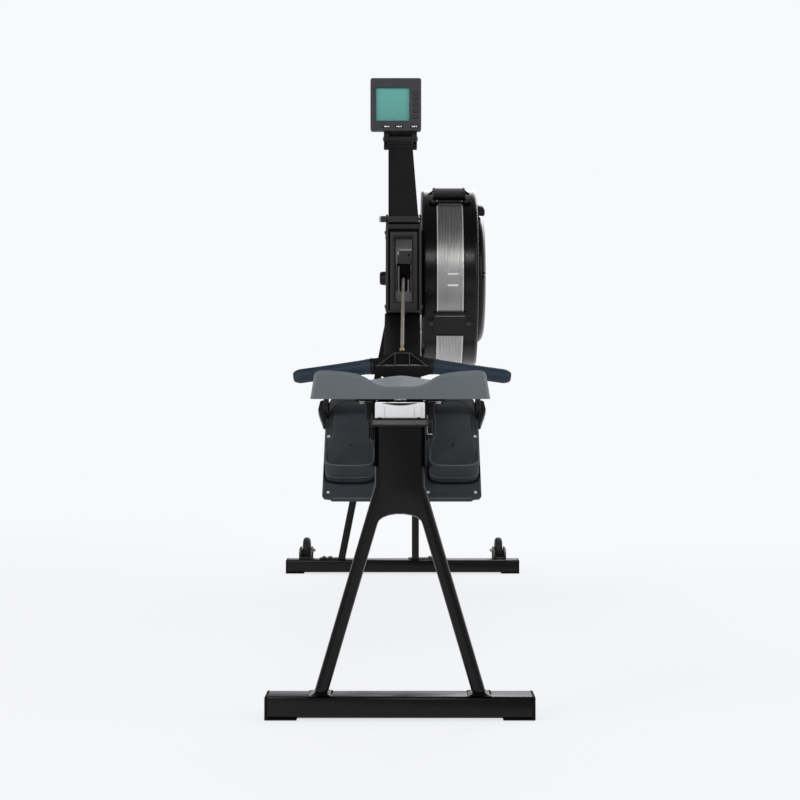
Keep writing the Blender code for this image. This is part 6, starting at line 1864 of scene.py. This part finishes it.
def casterWheel(word, side):
    c = casterSizes
    node = "caster_wheel_" + word.lower()
    low, high, middle = spanOf(node)
    x, y, z = middle
    r, half, side1, bore = (high.z - low.z) / 2, (high.x - low.x) / 2, c["tyreHalf"], c["tyreBore"]
    turns = [math.radians(-75 + 150 * index / 12) for index in range(1, 12)]
    tyre = [(-side1, bore), (-side1, r * 0.72), (-0.0092, r * 0.82)]
    tyre += [(0.0092 * math.sin(a), r * 0.80 + r * 0.20 * math.cos(a)) for a in turns]
    tyre += [(0.0092, r * 0.82), (side1, r * 0.72), (side1, bore)]
    standsFor(lathed("casterTyre" + word, tyre, middle, "x", 64, "tyreRubber", closed=True), node)
    hub = [(-half, 0), (-half, 0.0030), (-0.0106, 0.0030), (-0.0106, 0.0075), (-0.0080, 0.0090)]
    hub += [(-0.0068, 0.0160), (-0.0094, 0.0180)]
    hub += [(-along, radius) for along, radius in reversed(hub)]
    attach(lathed("casterHub" + word, hub, middle, "x", 48, "mouldedBlack"), bodyOf(node))
    nut = [(0, 0), (0, 0.0062), (0.0016, 0.0062), (0.0020, 0.0048), (0.0046, 0.0044), (0.0078, 0.0012)]
    nut.append((0.0082, 0))
    inward = Matrix.Rotation(math.radians(180), 4, "Z") if side > 0 else None
    place = (x - side * (c["ear"] - 0.0004), y, z)
    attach(lathed("casterNut" + word, nut, place, "x", 24, "paleZinc", turn=inward), "frame")
    spot = ((x + side * (c["ear"] - 0.0003), y, z), (side, 0, 0))
    bolts("casterBolt" + word, "frame", [spot], "blackBolt", 0.0052, 0.0030, 0.0068, 0.0022)


def casterPlates():
    # The rounded plates on the bar that the casters' forks are fixed to
    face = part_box("front_foot_bar")[1].y
    half, low = casterSizes["plateHalf"], casterSizes["plateLow"]
    parts = []
    for word in ("left", "right"):
        x, _, z = spanOf("caster_wheel_" + word)[2]
        top = z + 0.0040
        corners = [(x - half, low), (x + half, low), (x + half, top), (x - half, top)]
        outline = filleted(corners, [0.002, 0.002, 0.008, 0.008], True, 6)
        parts.append(prism("plate", outline, face - 0.001, face + 0.0042, "y", "mouldedBlack", 0.0012))
    joined("casterPlates", "frame", parts)


def barFittings():
    # Plates and bolts where the front leg stands on its bar, and caps on the bars' ends
    low, high, middle = spanOf("front_foot_bar")
    y, top = middle.y, high.z
    joined("legPlates", "frame", [
        slab("plate", (x0, y - 0.018, top - 0.0002), (x1, y + 0.018, top + 0.0030), "powderBlack", 0.0008)
        for x0, x1 in ((-0.2180, -0.1500), (0.0150, 0.0840))
    ])
    spots = [
        ((x, y + off, top + 0.0028), (0, 0, 1)) for x in (-0.2060, -0.1900, 0.0720)
        for off in (-0.009, 0.009)
    ]
    bolts("legPlateBolts", "frame", spots, "blackBolt", 0.0048, 0.0030, 0.0064, 0.0021)
    for word in ("rear", "front"):
        low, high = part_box(word + "_foot_bar")
        caps = []
        for x, side in ((low.x, -1), (high.x, 1)):
            near, far = sorted((x + side * 0.0012, x - side * 0.0040))
            start, end = (near, low.y + 0.0016, low.z + 0.0016), (far, high.y - 0.0016, high.z - 0.0016)
            caps.append(slab("cap", start, end, "rubberBlack", 0.0012))
        joined(word + "BarCaps", "frame", caps)


casterWheel("Left", -1)
casterWheel("Right", 1)
casterPlates()
barFittings()
print("casters and feet made")

# What keeps its CAD shape takes a finish of its own

plainFinishes = {"handle_core": "anodised", "sprocket": "chainSteel", "monitor_screen": "tealDisplay"}
for node, finish in plainFinishes.items():
    nodes[node].data.materials.clear()
    nodes[node].data.materials.append(finishes[finish])
